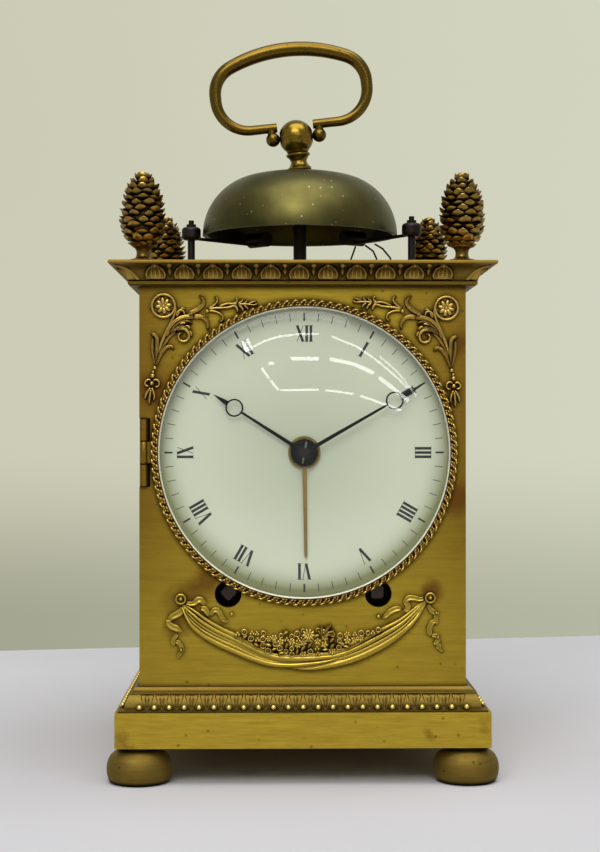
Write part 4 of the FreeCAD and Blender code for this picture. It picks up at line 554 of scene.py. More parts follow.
def effect(name: str, **numbers: float) -> Callable[[Wire], Callable[[], bpy.types.NodeTree]]:
    """Turn a function that wires nodes into a shader node group, built once.

    Args:
        name: The effect's name.
        numbers: Its inputs and their usual values.

    Returns:
        The decorator.
    """
    def wrap(wire: Wire) -> Callable[[], bpy.types.NodeTree]:
        """Put the wiring behind a function that hands out the group.

        Args:
            wire: Adds the group's nodes and returns the socket for each output.

        Returns:
            The function that hands out the group.
        """
        def group() -> bpy.types.NodeTree:
            """The group, with a socket for each input and output.

            Returns:
                The group.
            """
            found = bpy.data.node_groups.get(name)
            if found:
                return found
            tree = bpy.data.node_groups.new(name, "ShaderNodeTree")
            sockets = tree.interface
            for label, usual in numbers.items():
                sockets.new_socket(label, in_out="INPUT", socket_type="NodeSocketFloat").default_value = usual
            wiring = Wiring(tree)
            results = wire(wiring, wiring.add("NodeGroupInput").outputs)
            for label in results:
                sockets.new_socket(label, in_out="OUTPUT", socket_type="NodeSocketFloat")
            wiring.add("NodeGroupOutput", results)
            return tree
        return group
    return wrap


@effect("Mottle", Scale=30.0, Contrast=2.0)
def mottle(wiring: Wiring, given: Sockets) -> dict[str, Socket]:
    """Cloudy patches, as old lacquer and handling leave them.

    Args:
        wiring: The group's nodes.
        given: Its input sockets.

    Returns:
        Its results by name.
    """
    place = wiring.place()
    broad = wiring.noise(place, Scale=given["Scale"], Detail=5.0, Roughness=0.62, Distortion=0.6)
    fine = wiring.noise(place, Scale=wiring.times(given["Scale"], 7.3), Detail=4.0)
    both = wiring.add("Mix", {0: 0.3, 2: broad, 3: fine}).outputs[0]
    half = wiring.sum("DIVIDE", 0.5, given["Contrast"])
    mask = wiring.span(both, wiring.sum("SUBTRACT", 0.5, half), wiring.sum("ADD", 0.5, half))
    return {"Mask": mask, "Fine": fine}


@effect("Streaks", Scale=90.0)
def streaks(wiring: Wiring, given: Sockets) -> dict[str, Socket]:
    """Fine level lines left by wiping and burnishing.

    Args:
        wiring: The group's nodes.
        given: Its input sockets.

    Returns:
        Its results by name.
    """
    squeezed = wiring.add("Mapping", {"Vector": wiring.place(), "Scale": (1.0, 1.0, 14.0)}).outputs[0]
    lines = wiring.noise(squeezed, Scale=given["Scale"], Detail=6.0, Roughness=0.7)
    return {"Mask": wiring.span(lines, 0.36, 0.66)}


@effect("Recess Shade And Dirt", Reach=0.0015, Strength=1.6)
def recess_shade_and_dirt(wiring: Wiring, given: Sockets) -> dict[str, Socket]:
    """Darkness in recesses found by ambient occlusion: painted shade, and dirt that gathers where a brush
    doesn't reach.

    Args:
        wiring: The group's nodes.
        given: Its input sockets.

    Returns:
        Its results by name.
    """
    open_sky = wiring.add("AmbientOcclusion", {"Distance": given["Reach"]}, samples=6).outputs["AO"]
    shut = wiring.sum("SUBTRACT", 1.0, open_sky, clamp=True)
    return {"Mask": wiring.sum("MULTIPLY", shut, given["Strength"], clamp=True)}


@effect("Edge Rub", Threshold=0.02)
def edge_rub(wiring: Wiring, given: Sockets) -> dict[str, Socket]:
    """Brightness where hands and cloths rub the high places.

    Args:
        wiring: The group's nodes.
        given: Its input sockets.

    Returns:
        Its results by name.
    """
    start = wiring.sum("ADD", 0.5, given["Threshold"])
    sharp = wiring.add("NewGeometry").outputs["Pointiness"]
    return {"Mask": wiring.span(sharp, start, wiring.sum("ADD", start, 0.06))}


@effect("Pits", Scale=500.0, Size=0.3, Share=0.15)
def pits(wiring: Wiring, given: Sockets) -> dict[str, Socket]:
    """Scattered dark specks and the small hollows under them.

    Args:
        wiring: The group's nodes.
        given: Its input sockets.

    Returns:
        Its results by name.
    """
    cells = wiring.add("TexVoronoi", {"Vector": wiring.place(), "Scale": given["Scale"], "Randomness": 1.0})
    near = wiring.span(cells.outputs["Distance"], given["Size"], 0.0)
    choice = wiring.add("SeparateColor", {"Color": cells.outputs["Color"]}).outputs[0]
    return {"Mask": wiring.times(near, wiring.sum("LESS_THAN", choice, given["Share"]))}


def tone(red: int, green: int, blue: int) -> Colour:
    """A linear colour from an everyday one of 0 to 255.

    Args:
        red: Red share.
        green: Green share.
        blue: Blue share.

    Returns:
        The colour as a shader takes it.
    """
    def linear(share: float) -> float:
        """One channel without its display curve."""
        return share / 12.92 if share <= 0.04045 else ((share + 0.055) / 1.055) ** 2.4
    return (*(linear(channel / 255) for channel in (red, green, blue)), 1.0)


RUSSET: Colour = tone(98, 60, 24)


@dataclass(frozen=True)
class Finish:
    """A finish that is wired when the first piece takes it, with everyday colours of 0 to 255."""

    name: str
    shades: tuple[tuple[int, int, int], ...] = ()

    def tones(self) -> Iterator[Colour]:
        """Its colours as a shader takes them."""
        return (tone(*shade) for shade in self.shades)

    def surface(self, wiring: Wiring) -> Socket:
        """The shader of the finish."""
        raise NotImplementedError

    def build(self) -> bpy.types.Material:
        """The material, built once.

        Returns:
            The material.
        """
        material = bpy.data.materials.get(self.name)
        if material:
            return material
        material = bpy.data.materials.new(self.name)
        material.use_nodes = True
        wiring = Wiring(material.node_tree)
        wiring.add("OutputMaterial", {"Surface": self.surface(wiring)})
        return material


@dataclass(frozen=True)
class Gilding(Finish):
    """Old fire gilding on brass: gold, browned patches, rubbed edges and recesses dark with dirt and painted
    shade.

    Args:
        shades: Gold, worn gold, brown, and the dark tone of dirt and painted shade.
        side_brown_and_shade: How far the sides of a panel are browned and painted in shade, above its swag.
        side_span: Where that starts and is full, in metres from the middle line.
        side_rise: Heights in metres between which it grows.
        stains: Middle and reach in metres of each russet stain.
    """

    roughness: float = 0.36
    patch_scale: float = 28.0
    patch_share: float = 0.55
    shade_and_dirt_reach: float = 0.0015
    shade_and_dirt_strength: float = 1.6
    rub: float = 0.35
    streak_share: float = 0.25
    pit_share: float = 0.12
    side_brown_and_shade: float = 0.0
    side_span: Pair = (0.026, 0.05)
    side_rise: Pair = (0.042, 0.075)
    stains: tuple[tuple[Triple, float], ...] = ()

    def surface(self, wiring: Wiring) -> Socket:
        """Gold under wear, browning with painted side shade, stains, rubbing, dirt with painted shade, and
        specks, in that order.

        Args:
            wiring: The material's nodes.

        Returns:
            The shader's output.
        """
        gold, worn, brown, dirt_and_shade = self.tones()
        place = wiring.place()
        clouds = wiring.apply(mottle, Scale=self.patch_scale)
        recess = wiring.apply(recess_shade_and_dirt, Reach=self.shade_and_dirt_reach, Strength=self.shade_and_dirt_strength)["Mask"]
        specks = wiring.apply(pits, Share=self.pit_share)["Mask"]
        base = wiring.mix(wiring.times(clouds["Mask"], self.patch_share), gold, worn)
        base = wiring.mix(wiring.times(wiring.apply(streaks)["Mask"], self.streak_share), base, brown)
        # Painted shade, partly browning: the sides darken towards their edges, more high up than low down.
        if self.side_brown_and_shade:
            across, _, up = wiring.split(place)
            wave = wiring.times(clouds["Mask"], 0.006)
            spread = wiring.sum("ADD", wiring.sum("ABSOLUTE", across, 0.0), wave)
            edge = wiring.span(spread, *self.side_span, 0.0, self.side_brown_and_shade)
            above = wiring.span(up, *self.side_rise, 0.25, 1.0)
            base = wiring.mix(wiring.times(edge, above), base, brown)
        for spot, reach in self.stains:
            away = wiring.add("VectorMath", {0: place, 1: spot}, operation="DISTANCE").outputs["Value"]
            ragged = wiring.sum("ADD", away, wiring.times(clouds["Fine"], 0.008))
            stain = wiring.span(ragged, reach * 0.5 + 0.003, reach + 0.005, 0.75, 0.0)
            base = wiring.mix(stain, base, RUSSET)
        base = wiring.mix(wiring.times(wiring.apply(edge_rub)["Mask"], self.rub), base, gold)
        # Painted shade with dirt: the recesses that ambient occlusion finds take the dark tone.
        base = wiring.mix(recess, base, dirt_and_shade)
        base = wiring.mix(wiring.times(specks, 0.8), base, dirt_and_shade)
        rough = wiring.span(clouds["Mask"], 0.0, 1.0, self.roughness, self.roughness + 0.14)
        rough = wiring.sum("ADD", rough, wiring.times(recess, 0.35), clamp=True)
        height = wiring.sum("SUBTRACT", clouds["Fine"], specks)
        return wiring.skin(base, rough, height, (0.12, 0.00006), Metallic=1.0)


@dataclass(frozen=True)
class Smoked(Finish):
    """Steel, bronze or paint with cloudy colour, specks and dirty recesses.

    Args:
        shades: Two tones of the clouds, the dark tone of dirt and painted shade, and the specks.
        painted_shade_from: Where it is set, how far back from the front in metres it keeps its colour;
            further back it is painted in the dark tone as shade.
    """

    metal: float = 1.0
    roughness: float = 0.4
    patch_scale: float = 45.0
    shade_and_dirt_reach: float = 0.0015
    shade_and_dirt_strength: float = 1.0
    speck_share: float = 0.0
    speck_scale: float = 700.0
    painted_shade_from: float = 0.0

    def surface(self, wiring: Wiring) -> Socket:
        """Clouds under dirt and painted shade in the recesses, specks, and painted shade behind a depth.

        Args:
            wiring: The material's nodes.

        Returns:
            The shader's output.
        """
        base, other, dirt_and_shade, speck = self.tones()
        clouds = wiring.apply(mottle, Scale=self.patch_scale)
        recess = wiring.apply(recess_shade_and_dirt, Reach=self.shade_and_dirt_reach, Strength=self.shade_and_dirt_strength)["Mask"]
        specks = wiring.apply(pits, Scale=self.speck_scale, Share=self.speck_share)["Mask"]
        colour = wiring.mix(recess, wiring.mix(clouds["Mask"], base, other), dirt_and_shade)
        colour = wiring.mix(specks, colour, speck)
        # Painted shade: whatever lies further back than the given depth takes the dark tone.
        if self.painted_shade_from:
            behind = wiring.span(wiring.split(wiring.place())[1], self.painted_shade_from, self.painted_shade_from + 0.0008)
            colour = wiring.mix(behind, colour, dirt_and_shade)
        rough = wiring.span(clouds["Mask"], 0.0, 1.0, self.roughness, self.roughness + 0.12)
        return wiring.skin(colour, rough, clouds["Fine"], (0.1, 0.00005), Metallic=self.metal)


@dataclass(frozen=True)
class FiredEnamel(Finish):
    """White enamel fired on a domed plate, with painted shade: a darker middle, and the bezel's shadow,
    greener and darker, at its rim.

    Args:
        shades: White, its clouds, its painted darker middle and the painted shadow at its rim.
        rim_shadow_start: Where the painted rim shadow begins, in metres from the centre.
        rim_shadow_end: Where it is at its fullest.
    """

    rim_shadow_start: float = 0.033
    rim_shadow_end: float = 0.0402

    def surface(self, wiring: Wiring) -> Socket:
        """Cloudy white with painted shade that changes with the distance from the dial's centre.

        Args:
            wiring: The material's nodes.

        Returns:
            The shader's output.
        """
        white, cloud, painted_dim_middle, rim = self.tones()
        clouds = wiring.apply(mottle, Scale=26.0)
        outwards = wiring.add("VectorMath", {0: wiring.place(), 1: mm(*DIAL)}, operation="SUBTRACT")
        level = wiring.add("Mapping", {"Vector": outwards.outputs[0], "Scale": (1.0, 0.0, 1.0)}).outputs[0]
        reach = wiring.add("VectorMath", {0: level}, operation="LENGTH").outputs["Value"]
        # Painted shadow of the bezel: it reaches further in low down than at the top.
        low_side_shadow = wiring.span(wiring.split(level)[2], -0.03, 0.03, 0.0022, -0.0018)
        rim_shadow = wiring.span(wiring.sum("ADD", reach, low_side_shadow), self.rim_shadow_start, self.rim_shadow_end)
        base = wiring.mix(clouds["Mask"], white, cloud)
        # Painted shade: the middle is darker than the white round it.
        base = wiring.mix(wiring.span(reach, 0.01, 0.028, 1.0, 0.0), base, painted_dim_middle)
        # Painted shadow of the bezel: a greener, darker band at the rim.
        base = wiring.mix(wiring.sum("POWER", rim_shadow, 2.2), base, rim)
        rough = wiring.span(clouds["Fine"], 0.3, 0.7, 0.16, 0.24)
        return wiring.skin(base, rough, clouds["Fine"], (0.03, 0.00005))


@dataclass(frozen=True)
class ClearGlass(Finish):
    """Old clear glass that lets light through to what it covers."""

    tint: Colour = (0.97, 0.99, 0.97, 1.0)

    def surface(self, wiring: Wiring) -> Socket:
        """Glass to the eye, and open air to the light that falls on what is behind.

        Args:
            wiring: The material's nodes.

        Returns:
            The shader's output.
        """
        clouds = wiring.apply(mottle, Scale=60.0)
        rough = wiring.span(clouds["Mask"], 0.0, 1.0, 0.0, 0.02)
        glass = wiring.add("BsdfPrincipled", {"Base Color": self.tint, "Roughness": rough, "IOR": 1.34,
                                              "Transmission Weight": 1.0})
        open_air = wiring.add("BsdfTransparent", {"Color": self.tint})
        path = wiring.add("LightPath").outputs
        passing = wiring.sum("MAXIMUM", path["Is Shadow Ray"], path["Is Diffuse Ray"])
        return wiring.add("MixShader", {0: passing, 1: glass.outputs[0], 2: open_air.outputs[0]}).outputs[0]


@dataclass(frozen=True)
class WallWithPaintedLight(Finish):
    """The wall, with painted light: darker low down, paler to the right, glowing as it is to the eye."""

    def surface(self, wiring: Wiring) -> Socket:
        """A painted-light glow to the eye and to mirrors, and paint to everything else.

        Args:
            wiring: The material's nodes.

        Returns:
            The shader's output.
        """
        place = wiring.place()
        across, _, up = wiring.split(place)
        # Painted light and shade: paler to the right and darker low down.
        share = wiring.span(across, -0.3, 0.3)
        painted_light_ramp = wiring.span(up, -0.1, 0.085, interpolation_type="SMOOTHSTEP")
        cloud = wiring.span(wiring.noise(place, Scale=3.0), 0.3, 0.7, -0.03, 0.03)
        high_left, high_right, low_left, low_right = self.tones()
        high, low = wiring.mix(share, high_left, high_right), wiring.mix(share, low_left, low_right)
        colour = wiring.mix(wiring.sum("ADD", painted_light_ramp, cloud, clamp=True), low, high)
        diffuse = wiring.add("BsdfDiffuse", {"Color": colour})
        # The wall glows with its painted light to the eye, to mirrors and through glass.
        painted_light_glow = wiring.add("Emission", {"Color": colour, "Strength": 1.0})
        path = wiring.add("LightPath").outputs
        seen = wiring.sum("MAXIMUM", path["Is Camera Ray"], path["Is Glossy Ray"])
        seen = wiring.sum("MAXIMUM", seen, path["Is Transmission Ray"])
        return wiring.add("MixShader", {0: seen, 1: diffuse.outputs[0], 2: painted_light_glow.outputs[0]}).outputs[0]


@dataclass(frozen=True)
class PaleCloth(Finish):
    """The pale table, which keeps its shadows."""

    def surface(self, wiring: Wiring) -> Socket:
        """Two close tones in soft clouds."""
        cloud = wiring.noise(wiring.place(), Scale=9.0, Detail=4.0)
        return wiring.add("BsdfDiffuse", {"Color": wiring.mix(cloud, *self.tones())}).outputs[0]


PANEL_STAINS = (((-0.0325, -0.0503, 0.0495), 0.006), ((-0.026, -0.0503, 0.055), 0.0055),
                ((-0.035, -0.0503, 0.043), 0.004), ((0.042, -0.0503, 0.078), 0.006),
                ((-0.041, -0.0503, 0.108), 0.006), ((0.036, -0.0503, 0.052), 0.003),
                ((0.0425, -0.0503, 0.12), 0.004))
PLINTH_STAINS = (((0.049, -0.0575, 0.0165), 0.0016), ((-0.049, -0.0575, 0.012), 0.002),
                 ((0.034, -0.0575, 0.013), 0.0008))
# Each Gilding and Smoked finish paints its recesses dark, as dirt and painted shade, with its own reach and
# strength.
GILT_PANEL = Gilding("Gilt panel", ((184, 158, 53), (162, 136, 45), (112, 80, 28), (52, 36, 14)),
                     roughness=0.34, patch_scale=22.0, streak_share=0.35, side_brown_and_shade=0.85, pit_share=0.05,
                     rub=0.0, stains=PANEL_STAINS)
GILT_PLAIN = Gilding("Gilt plinth", ((202, 174, 60), (172, 145, 49), (124, 92, 34), (66, 46, 18)),
                     roughness=0.33, patch_scale=30.0, streak_share=0.45, pit_share=0.14, rub=0.0,
                     stains=PLINTH_STAINS)
GILT_FEET = Gilding("Gilt feet", ((132, 110, 48), (104, 86, 40), (84, 66, 32), (38, 28, 13)), roughness=0.56,
                    patch_scale=70.0, streak_share=0.4, pit_share=0.08, rub=0.0)
GILT_CAST = Gilding("Chased gilding", ((214, 180, 92), (160, 124, 54), (108, 76, 32), (46, 29, 11)),
                    roughness=0.22, shade_and_dirt_reach=0.0012, shade_and_dirt_strength=1.9, streak_share=0.2, rub=0.6)
GILT_LEAF = Gilding("Leaf moulding gilding", ((186, 154, 74), (144, 110, 48), (100, 72, 32), (36, 24, 9)),
                    roughness=0.3, shade_and_dirt_reach=0.0014, shade_and_dirt_strength=1.9, rub=0.8)
# Near-black painted shade with dirt between the scales.
GILT_CONE = Gilding("Cone gilding", ((172, 138, 66), (90, 66, 30), (58, 41, 19), (12, 8, 4)), roughness=0.14,
                    patch_scale=190.0, patch_share=0.85, shade_and_dirt_reach=0.0032, shade_and_dirt_strength=2.4, rub=0.9)
GILT_KNOB = Gilding("Knob gilding", ((140, 115, 42), (96, 75, 29), (66, 48, 20), (32, 23, 10)),
                    roughness=0.18, patch_scale=60.0, streak_share=0.2, pit_share=0.1, rub=0.0)
GILT_HANDLE = Gilding("Handle gilding", ((112, 90, 34), (76, 58, 23), (54, 40, 17), (28, 20, 9)),
                      roughness=0.16, patch_scale=60.0, streak_share=0.2, pit_share=0.1, rub=0.0)
BRASS_WORKS = Gilding("Movement brass", ((206, 176, 98), (184, 152, 78), (150, 118, 56), (80, 60, 28)),
                      roughness=0.22, patch_scale=90.0, shade_and_dirt_strength=1.0, rub=0.0)
BRASS_HAND = Gilding("Alarm hand brass", ((150, 124, 66), (128, 104, 54), (100, 80, 40), (60, 46, 22)),
                     roughness=0.34, patch_scale=120.0, rub=0.0)
# The long reach paints near-black shade inside the bell's mouth, with dirt.
BELL_BRONZE = Smoked("Bell bronze", ((98, 92, 49), (58, 56, 32), (9, 9, 8), (168, 170, 136)), roughness=0.34,
                     patch_scale=30.0, shade_and_dirt_strength=1.25, speck_share=0.09, speck_scale=900.0,
                     shade_and_dirt_reach=0.022)
DARK_STEEL = Smoked("Dark steel", ((52, 48, 46), (36, 32, 30), (14, 12, 11), (80, 60, 44)), roughness=0.38,
                    speck_share=0.05)
# Painted shade: the winding squares go dark behind their front ends, as deep in the holes.
SQUARE_STEEL = Smoked("Winding squares", ((76, 68, 61), (58, 51, 45), (20, 17, 15), (96, 70, 48)),
                      roughness=0.3, speck_share=0.05, painted_shade_from=-0.0448)
# Painted shade: the hands and collet go near black behind their front.
HAND_STEEL = Smoked("Hand steel", ((150, 150, 142), (120, 120, 114), (5, 5, 6), (90, 90, 90)),
                    roughness=0.35, patch_scale=120.0, painted_shade_from=-0.0533)
BLUED = Smoked("Blued steel", ((40, 48, 72), (26, 30, 46), (12, 13, 20), (70, 76, 96)), roughness=0.24,
               patch_scale=160.0)
ENAMEL = FiredEnamel("Fired enamel", ((227, 229, 209), (221, 223, 203), (209, 212, 191), (142, 145, 102)))
ENAMEL_INK = Smoked("Enamel ink", ((8, 9, 11), (18, 19, 23), (6, 6, 8), (70, 72, 74)), metal=0.0,
                    roughness=0.3, patch_scale=400.0, speck_share=0.12, speck_scale=1800.0)
CLOCK_GLASS = ClearGlass("Clock glass")
WALL_PAINTED_LIGHT = WallWithPaintedLight("Wall painted light", ((204, 203, 181), (210, 212, 192), (163, 164, 143), (179, 182, 161)))
PALE_TABLE = PaleCloth("Pale table", ((203, 202, 209), (197, 197, 204)))
GILT_GROUND = Gilding("Cove ground", ((136, 110, 44), (98, 76, 32), (74, 54, 22), (24, 16, 7)),
                      roughness=0.42, shade_and_dirt_reach=0.0016, shade_and_dirt_strength=2.2, rub=0.0)
GILT_DULL = Gilding("Worn plinth gilding", ((126, 106, 46), (100, 82, 37), (78, 59, 26), (40, 30, 12)),
                    roughness=0.42, shade_and_dirt_reach=0.0012, shade_and_dirt_strength=1.6, rub=0.3)
GILT_BEAD = Gilding("Bead gilding", ((226, 200, 110), (196, 168, 84), (140, 112, 50), (30, 21, 8)),
                    roughness=0.2, shade_and_dirt_reach=0.0012, shade_and_dirt_strength=1.8, rub=0.8, pit_share=0.0)
GILT_ROPE = Gilding("Rope gilding", ((218, 186, 98), (176, 142, 62), (130, 100, 44), (104, 77, 31)),
                    roughness=0.2, patch_scale=90.0, shade_and_dirt_reach=0.0006, shade_and_dirt_strength=0.65, rub=0.6,
                    pit_share=0.0)
# Painted highlight: a near-white ring stands for light caught on the edge of the glass.
PAINTED_GLINT_LIP = Smoked("Painted glint lip", ((240, 242, 226), (226, 228, 208), (116, 108, 66), (160, 150, 100)),
                    metal=0.0, roughness=0.3, shade_and_dirt_strength=0.3)
GILT_EDGE = Gilding("Bezel channel gilding", ((158, 128, 54), (120, 92, 38), (86, 62, 26), (48, 33, 12)),
                    roughness=0.24, shade_and_dirt_reach=0.0007, shade_and_dirt_strength=1.0, rub=0.0, pit_share=0.0)
GILT_SWAG = Gilding("Draped gilding", ((188, 162, 66), (152, 126, 48), (98, 76, 30), (44, 31, 12)),
                    roughness=0.26, shade_and_dirt_reach=0.0012, shade_and_dirt_strength=1.8, rub=0.7, pit_share=0.0)
GILT_GARLAND = Gilding("Garland gilding", ((202, 172, 84), (150, 122, 52), (108, 82, 33), (62, 44, 16)),
                       roughness=0.22, shade_and_dirt_reach=0.0014, shade_and_dirt_strength=1.4, rub=0.6, pit_share=0.0)


# ---------------------------------------------------------------------------------------------------
# Staging

EYE = Vector((-0.0079, -0.5111, 0.0978))
AIM = Vector((0, 0, 0.1))


def looking(place: Vector, target: Vector) -> Matrix:
    """The stand of a lamp or lens at a place that looks at a target."""
    return Matrix.Translation(place) @ (target - place).to_track_quat("-Z", "Y").to_matrix().to_4x4()


def area_lamp(name: str, size: Pair, watts: float, stand: Matrix) -> bpy.types.AreaLight:
    """Hang a soft rectangular lamp.

    Args:
        name: The lamp's name.
        size: Its two sides in metres.
        watts: Its strength.
        stand: Where it hangs and how it is turned.

    Returns:
        The lamp's light.
    """
    light = bpy.data.lights.new(name, "AREA")
    light.shape = "RECTANGLE"
    light.size, light.size_y = size
    light.energy = watts
    linked(name, light, stand)
    return light


@dataclass(frozen=True)
class Strip:
    """A broad warm lamp that looks at the clock, sized in metres."""

    name: str
    place: Triple
    size: Pair
    watts: float
    warmth: Triple = (1.0, 0.99, 0.95)

    def hang(self) -> None:
        """Hang the lamp."""
        stand = looking(Vector(self.place), AIM)
        area_lamp(self.name, self.size, self.watts, stand).color = self.warmth


@dataclass(frozen=True)
class Tube:
    """A long thin lamp under the ceiling, hung where the dial's glass mirrors it.

    Args:
        name: The lamp's name.
        start: Where on the glass its one end is mirrored, across and up from the dial's centre, in mm.
        end: Where on the glass its other end is mirrored.
        width: Width in metres.
        radiance: Brightness of its face.
        dome: Radius of the glass in millimetres.
        distance: How far from the dial it hangs, in metres.
    """

    name: str
    start: Pair
    end: Pair
    width: float = 0.024
    radiance: float = 10.0
    dome: float = 173.0
    distance: float = 3.0

    def mirrored(self, spot: Pair) -> Vector:
        """The place in the room that a spot on the domed glass shows.

        Args:
            spot: Across and up from the dial's centre, in millimetres.

        Returns:
            The place in metres.
        """
        view = (Vector(DIAL) + Vector((spot[0], 0, spot[1])) - EYE / MM).normalized()
        normal = Vector((spot[0] / self.dome, 0, spot[1] / self.dome))
        normal.y = -math.sqrt(1 - normal.length_squared)
        return mm(*DIAL) + view.reflect(normal) * self.distance

    def hang(self) -> None:
        """Hang the lamp."""
        start, end = self.mirrored(self.start), self.mirrored(self.end)
        middle, length = (start + end) / 2, (end - start).length
        along_x = (end - start).normalized()
        along_y = (middle - AIM).normalized().cross(along_x).normalized()
        facing = Matrix((along_x, along_y, along_x.cross(along_y))).transposed().to_4x4()
        watts = self.radiance * math.pi * length * self.width
        area_lamp(self.name, (length, self.width), watts, Matrix.Translation(middle) @ facing)


def tube_row(name: str, stops: Sequence[Pair], gaps: Sequence[int], width: float,
             radiance: float) -> list[Tube]:
    """A bent row of tubes.

    Args:
        name: Name that the tubes share.
        stops: Where the ends are mirrored.
        gaps: Numbers of the stretches that are left open.
        width: Width of every tube in metres.
        radiance: Brightness of every tube.

    Returns:
        The tubes of the row.
    """
    stretches = enumerate(zip(stops, stops[1:]))
    return [Tube(f"{name} {number}", *ends, width, radiance) for number, ends in stretches
            if number not in gaps]


LAMPS: tuple[Strip | Tube, ...] = (
    Strip("ceiling", (0.1, -0.3, 1.5), (1.6, 1.2), 20.0),
    Strip("front ceiling", (-0.25, -1.65, 1.5), (1.5, 0.8), 20.0),
    *tube_row("low row", ((-6.5, 16.9), (3.9, 17.1), (5.6, 17.0), (13.4, 15.9), (15.0, 15.5), (26.5, 11.4)),
              (1, 3), 0.024, 10.0),
    *tube_row("middle row", ((-3.8, 25.5), (3.9, 25.5), (6.9, 25.4), (13.0, 24.2), (18.8, 21.6), (20.1, 20.5),
                             (28.3, 14.0)), (1, 4), 0.04, 10.0),
    *tube_row("high row", ((-14.2, 28.6), (-10.8, 30.3), (-7.0, 31.5), (-1.5, 32.2), (4.0, 32.2), (7.3, 31.6),
                           (14.2, 28.8), (20.8, 24.2), (28.0, 17.6)), (4,), 0.02, 12.0),
    *tube_row("slanting row", ((-11.6, 23.0), (-9.6, 20.2), (-9.2, 19.6), (-7.0, 16.9)), (1,), 0.026, 10.0),
    *tube_row("outer row", ((20.4, 26.2), (25.2, 22.0), (30.4, 15.4)), (), 0.02, 8.0),
    Tube("lone tube", (-16.2, 30.4), (-15.0, 27.6), 0.09, 14.0),
    Tube("short tube", (-9.9, 24.1), (-8.2, 24.4), 0.03),
)


@dataclass(frozen=True)
class Studio:
    """Table, wall, lamps and camera, in metres."""

    table_front: float = -0.38
    table_back: float = 0.2415
    table_skew: float = 0.28
    table_half: float = 1.6
    wall_distance: float = 1.1
    wall_half: float = 3.0
    wall_low: float = -1.0
    wall_high: float = 2.5
    lens: float = 70.7
    sensor: float = 36.0
    near: float = 0.01
    roll: float = -0.03
    room: Colour = (0.80, 0.81, 0.78, 1.0)
    room_mirrored: float = 0.62
    room_fill: float = 0.2

    def slab(self, name: str, corners: Sequence[Triple], finish: Finish) -> None:
        """A flat staging surface through four corners.

        Args:
            name: Its name.
            corners: Its corners in metres, in turn.
            finish: What it is dressed in.
        """
        mesh = bpy.data.meshes.new(name)
        mesh.from_pydata([Vector(corner) for corner in corners], [], [(0, 1, 2, 3)])
        mesh.materials.append(finish.build())
        surface = linked(name, mesh)

    def build(self) -> None:
        """Build the staging, the lamps, the world and the camera."""
        scene = bpy.context.scene
        scene.view_settings.view_transform = "Standard"
        half, front, back, skew = self.table_half, self.table_front, self.table_back, self.table_skew
        self.slab("table", [(-half, front, 0), (half, front, 0), (half, back + skew, 0),
                            (-half, back - skew, 0)], PALE_TABLE)
        half, away, low, high = self.wall_half, self.wall_distance, self.wall_low, self.wall_high
        self.slab("wall", [(-half, away, low), (half, away, low), (half, away, high),
                           (-half, away, high)], WALL_PAINTED_LIGHT)
        for lamp in LAMPS:
            lamp.hang()
        scene.world = self.world()
        view = bpy.data.cameras.new("View")
        view.lens = self.lens
        view.sensor_width = self.sensor
        view.clip_start = self.near
        stand = looking(EYE, Vector((0, 0, EYE.z))) @ turn(math.radians(self.roll), "Z")
        scene.camera = linked("View", view, stand)

    def world(self) -> bpy.types.World:
        """A room that is brighter in mirrors than its fill light is.

        Returns:
            The world.
        """
        world = bpy.data.worlds.new("Room")
        world.use_nodes = True
        wiring = Wiring(world.node_tree)
        mirrored, fill = (wiring.add("Background", {"Color": self.room, "Strength": strength}).outputs[0]
                          for strength in (self.room_mirrored, self.room_fill))
        diffuse = wiring.add("LightPath").outputs["Is Diffuse Ray"]
        both = wiring.add("MixShader", {0: diffuse, 1: mirrored, 2: fill})
        wiring.add("OutputWorld", {"Surface": both.outputs[0]})
        return world


# ---------------------------------------------------------------------------------------------------
# Mouldings, finials and dial


def settle(pieces: Sequence[Piece], name: str, body: str, slot: Slot, finish: Finish, *nodes: str) -> None:
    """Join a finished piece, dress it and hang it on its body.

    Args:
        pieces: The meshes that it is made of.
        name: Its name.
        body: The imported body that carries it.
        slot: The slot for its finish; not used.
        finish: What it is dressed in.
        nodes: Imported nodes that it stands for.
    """
    piece = joined(pieces, name)
    piece.data.materials.clear()
    piece.data.materials.append(finish.build())
    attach(piece, body)
    if nodes:
        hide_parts(*nodes)
    LOG.info("%s rides on %s with %d faces", piece.name, body, len(piece.data.polygons))


def pulse(where: float, middle: float, width: float) -> float:
    """A smooth hump of height one at a place."""
    return math.exp(-((where - middle) / width) ** 2)


def against(front: bool, across: float, out: float, height: float) -> Vector:
    """A point on the front of the case, or on its right-hand side."""
    return Vector((across, -out, height)) if front else Vector((out, across, height))


def spaced(model: Piece, front: bool, places: Sequence[float]) -> list[Piece]:
    """Copies of a model along the front or the right-hand side, in its stead."""
    return copies(model, [move(place, 0, 0) if front else move(0, place, 0) for place in places])


def both_ways(pieces: Sequence[Piece]) -> list[Piece]:
    """Front and right-hand ornament, with its turned copies for the back and the left."""
    return [*pieces, *(copied(piece, turn(math.pi, "Z")) for piece in pieces)]


def on_panel(x: float, y: float, z: float) -> Matrix:
    """Turns a piece made about +Z to face the front at a place."""
    return move(x, y, z) @ turn(math.pi / 2, "X")


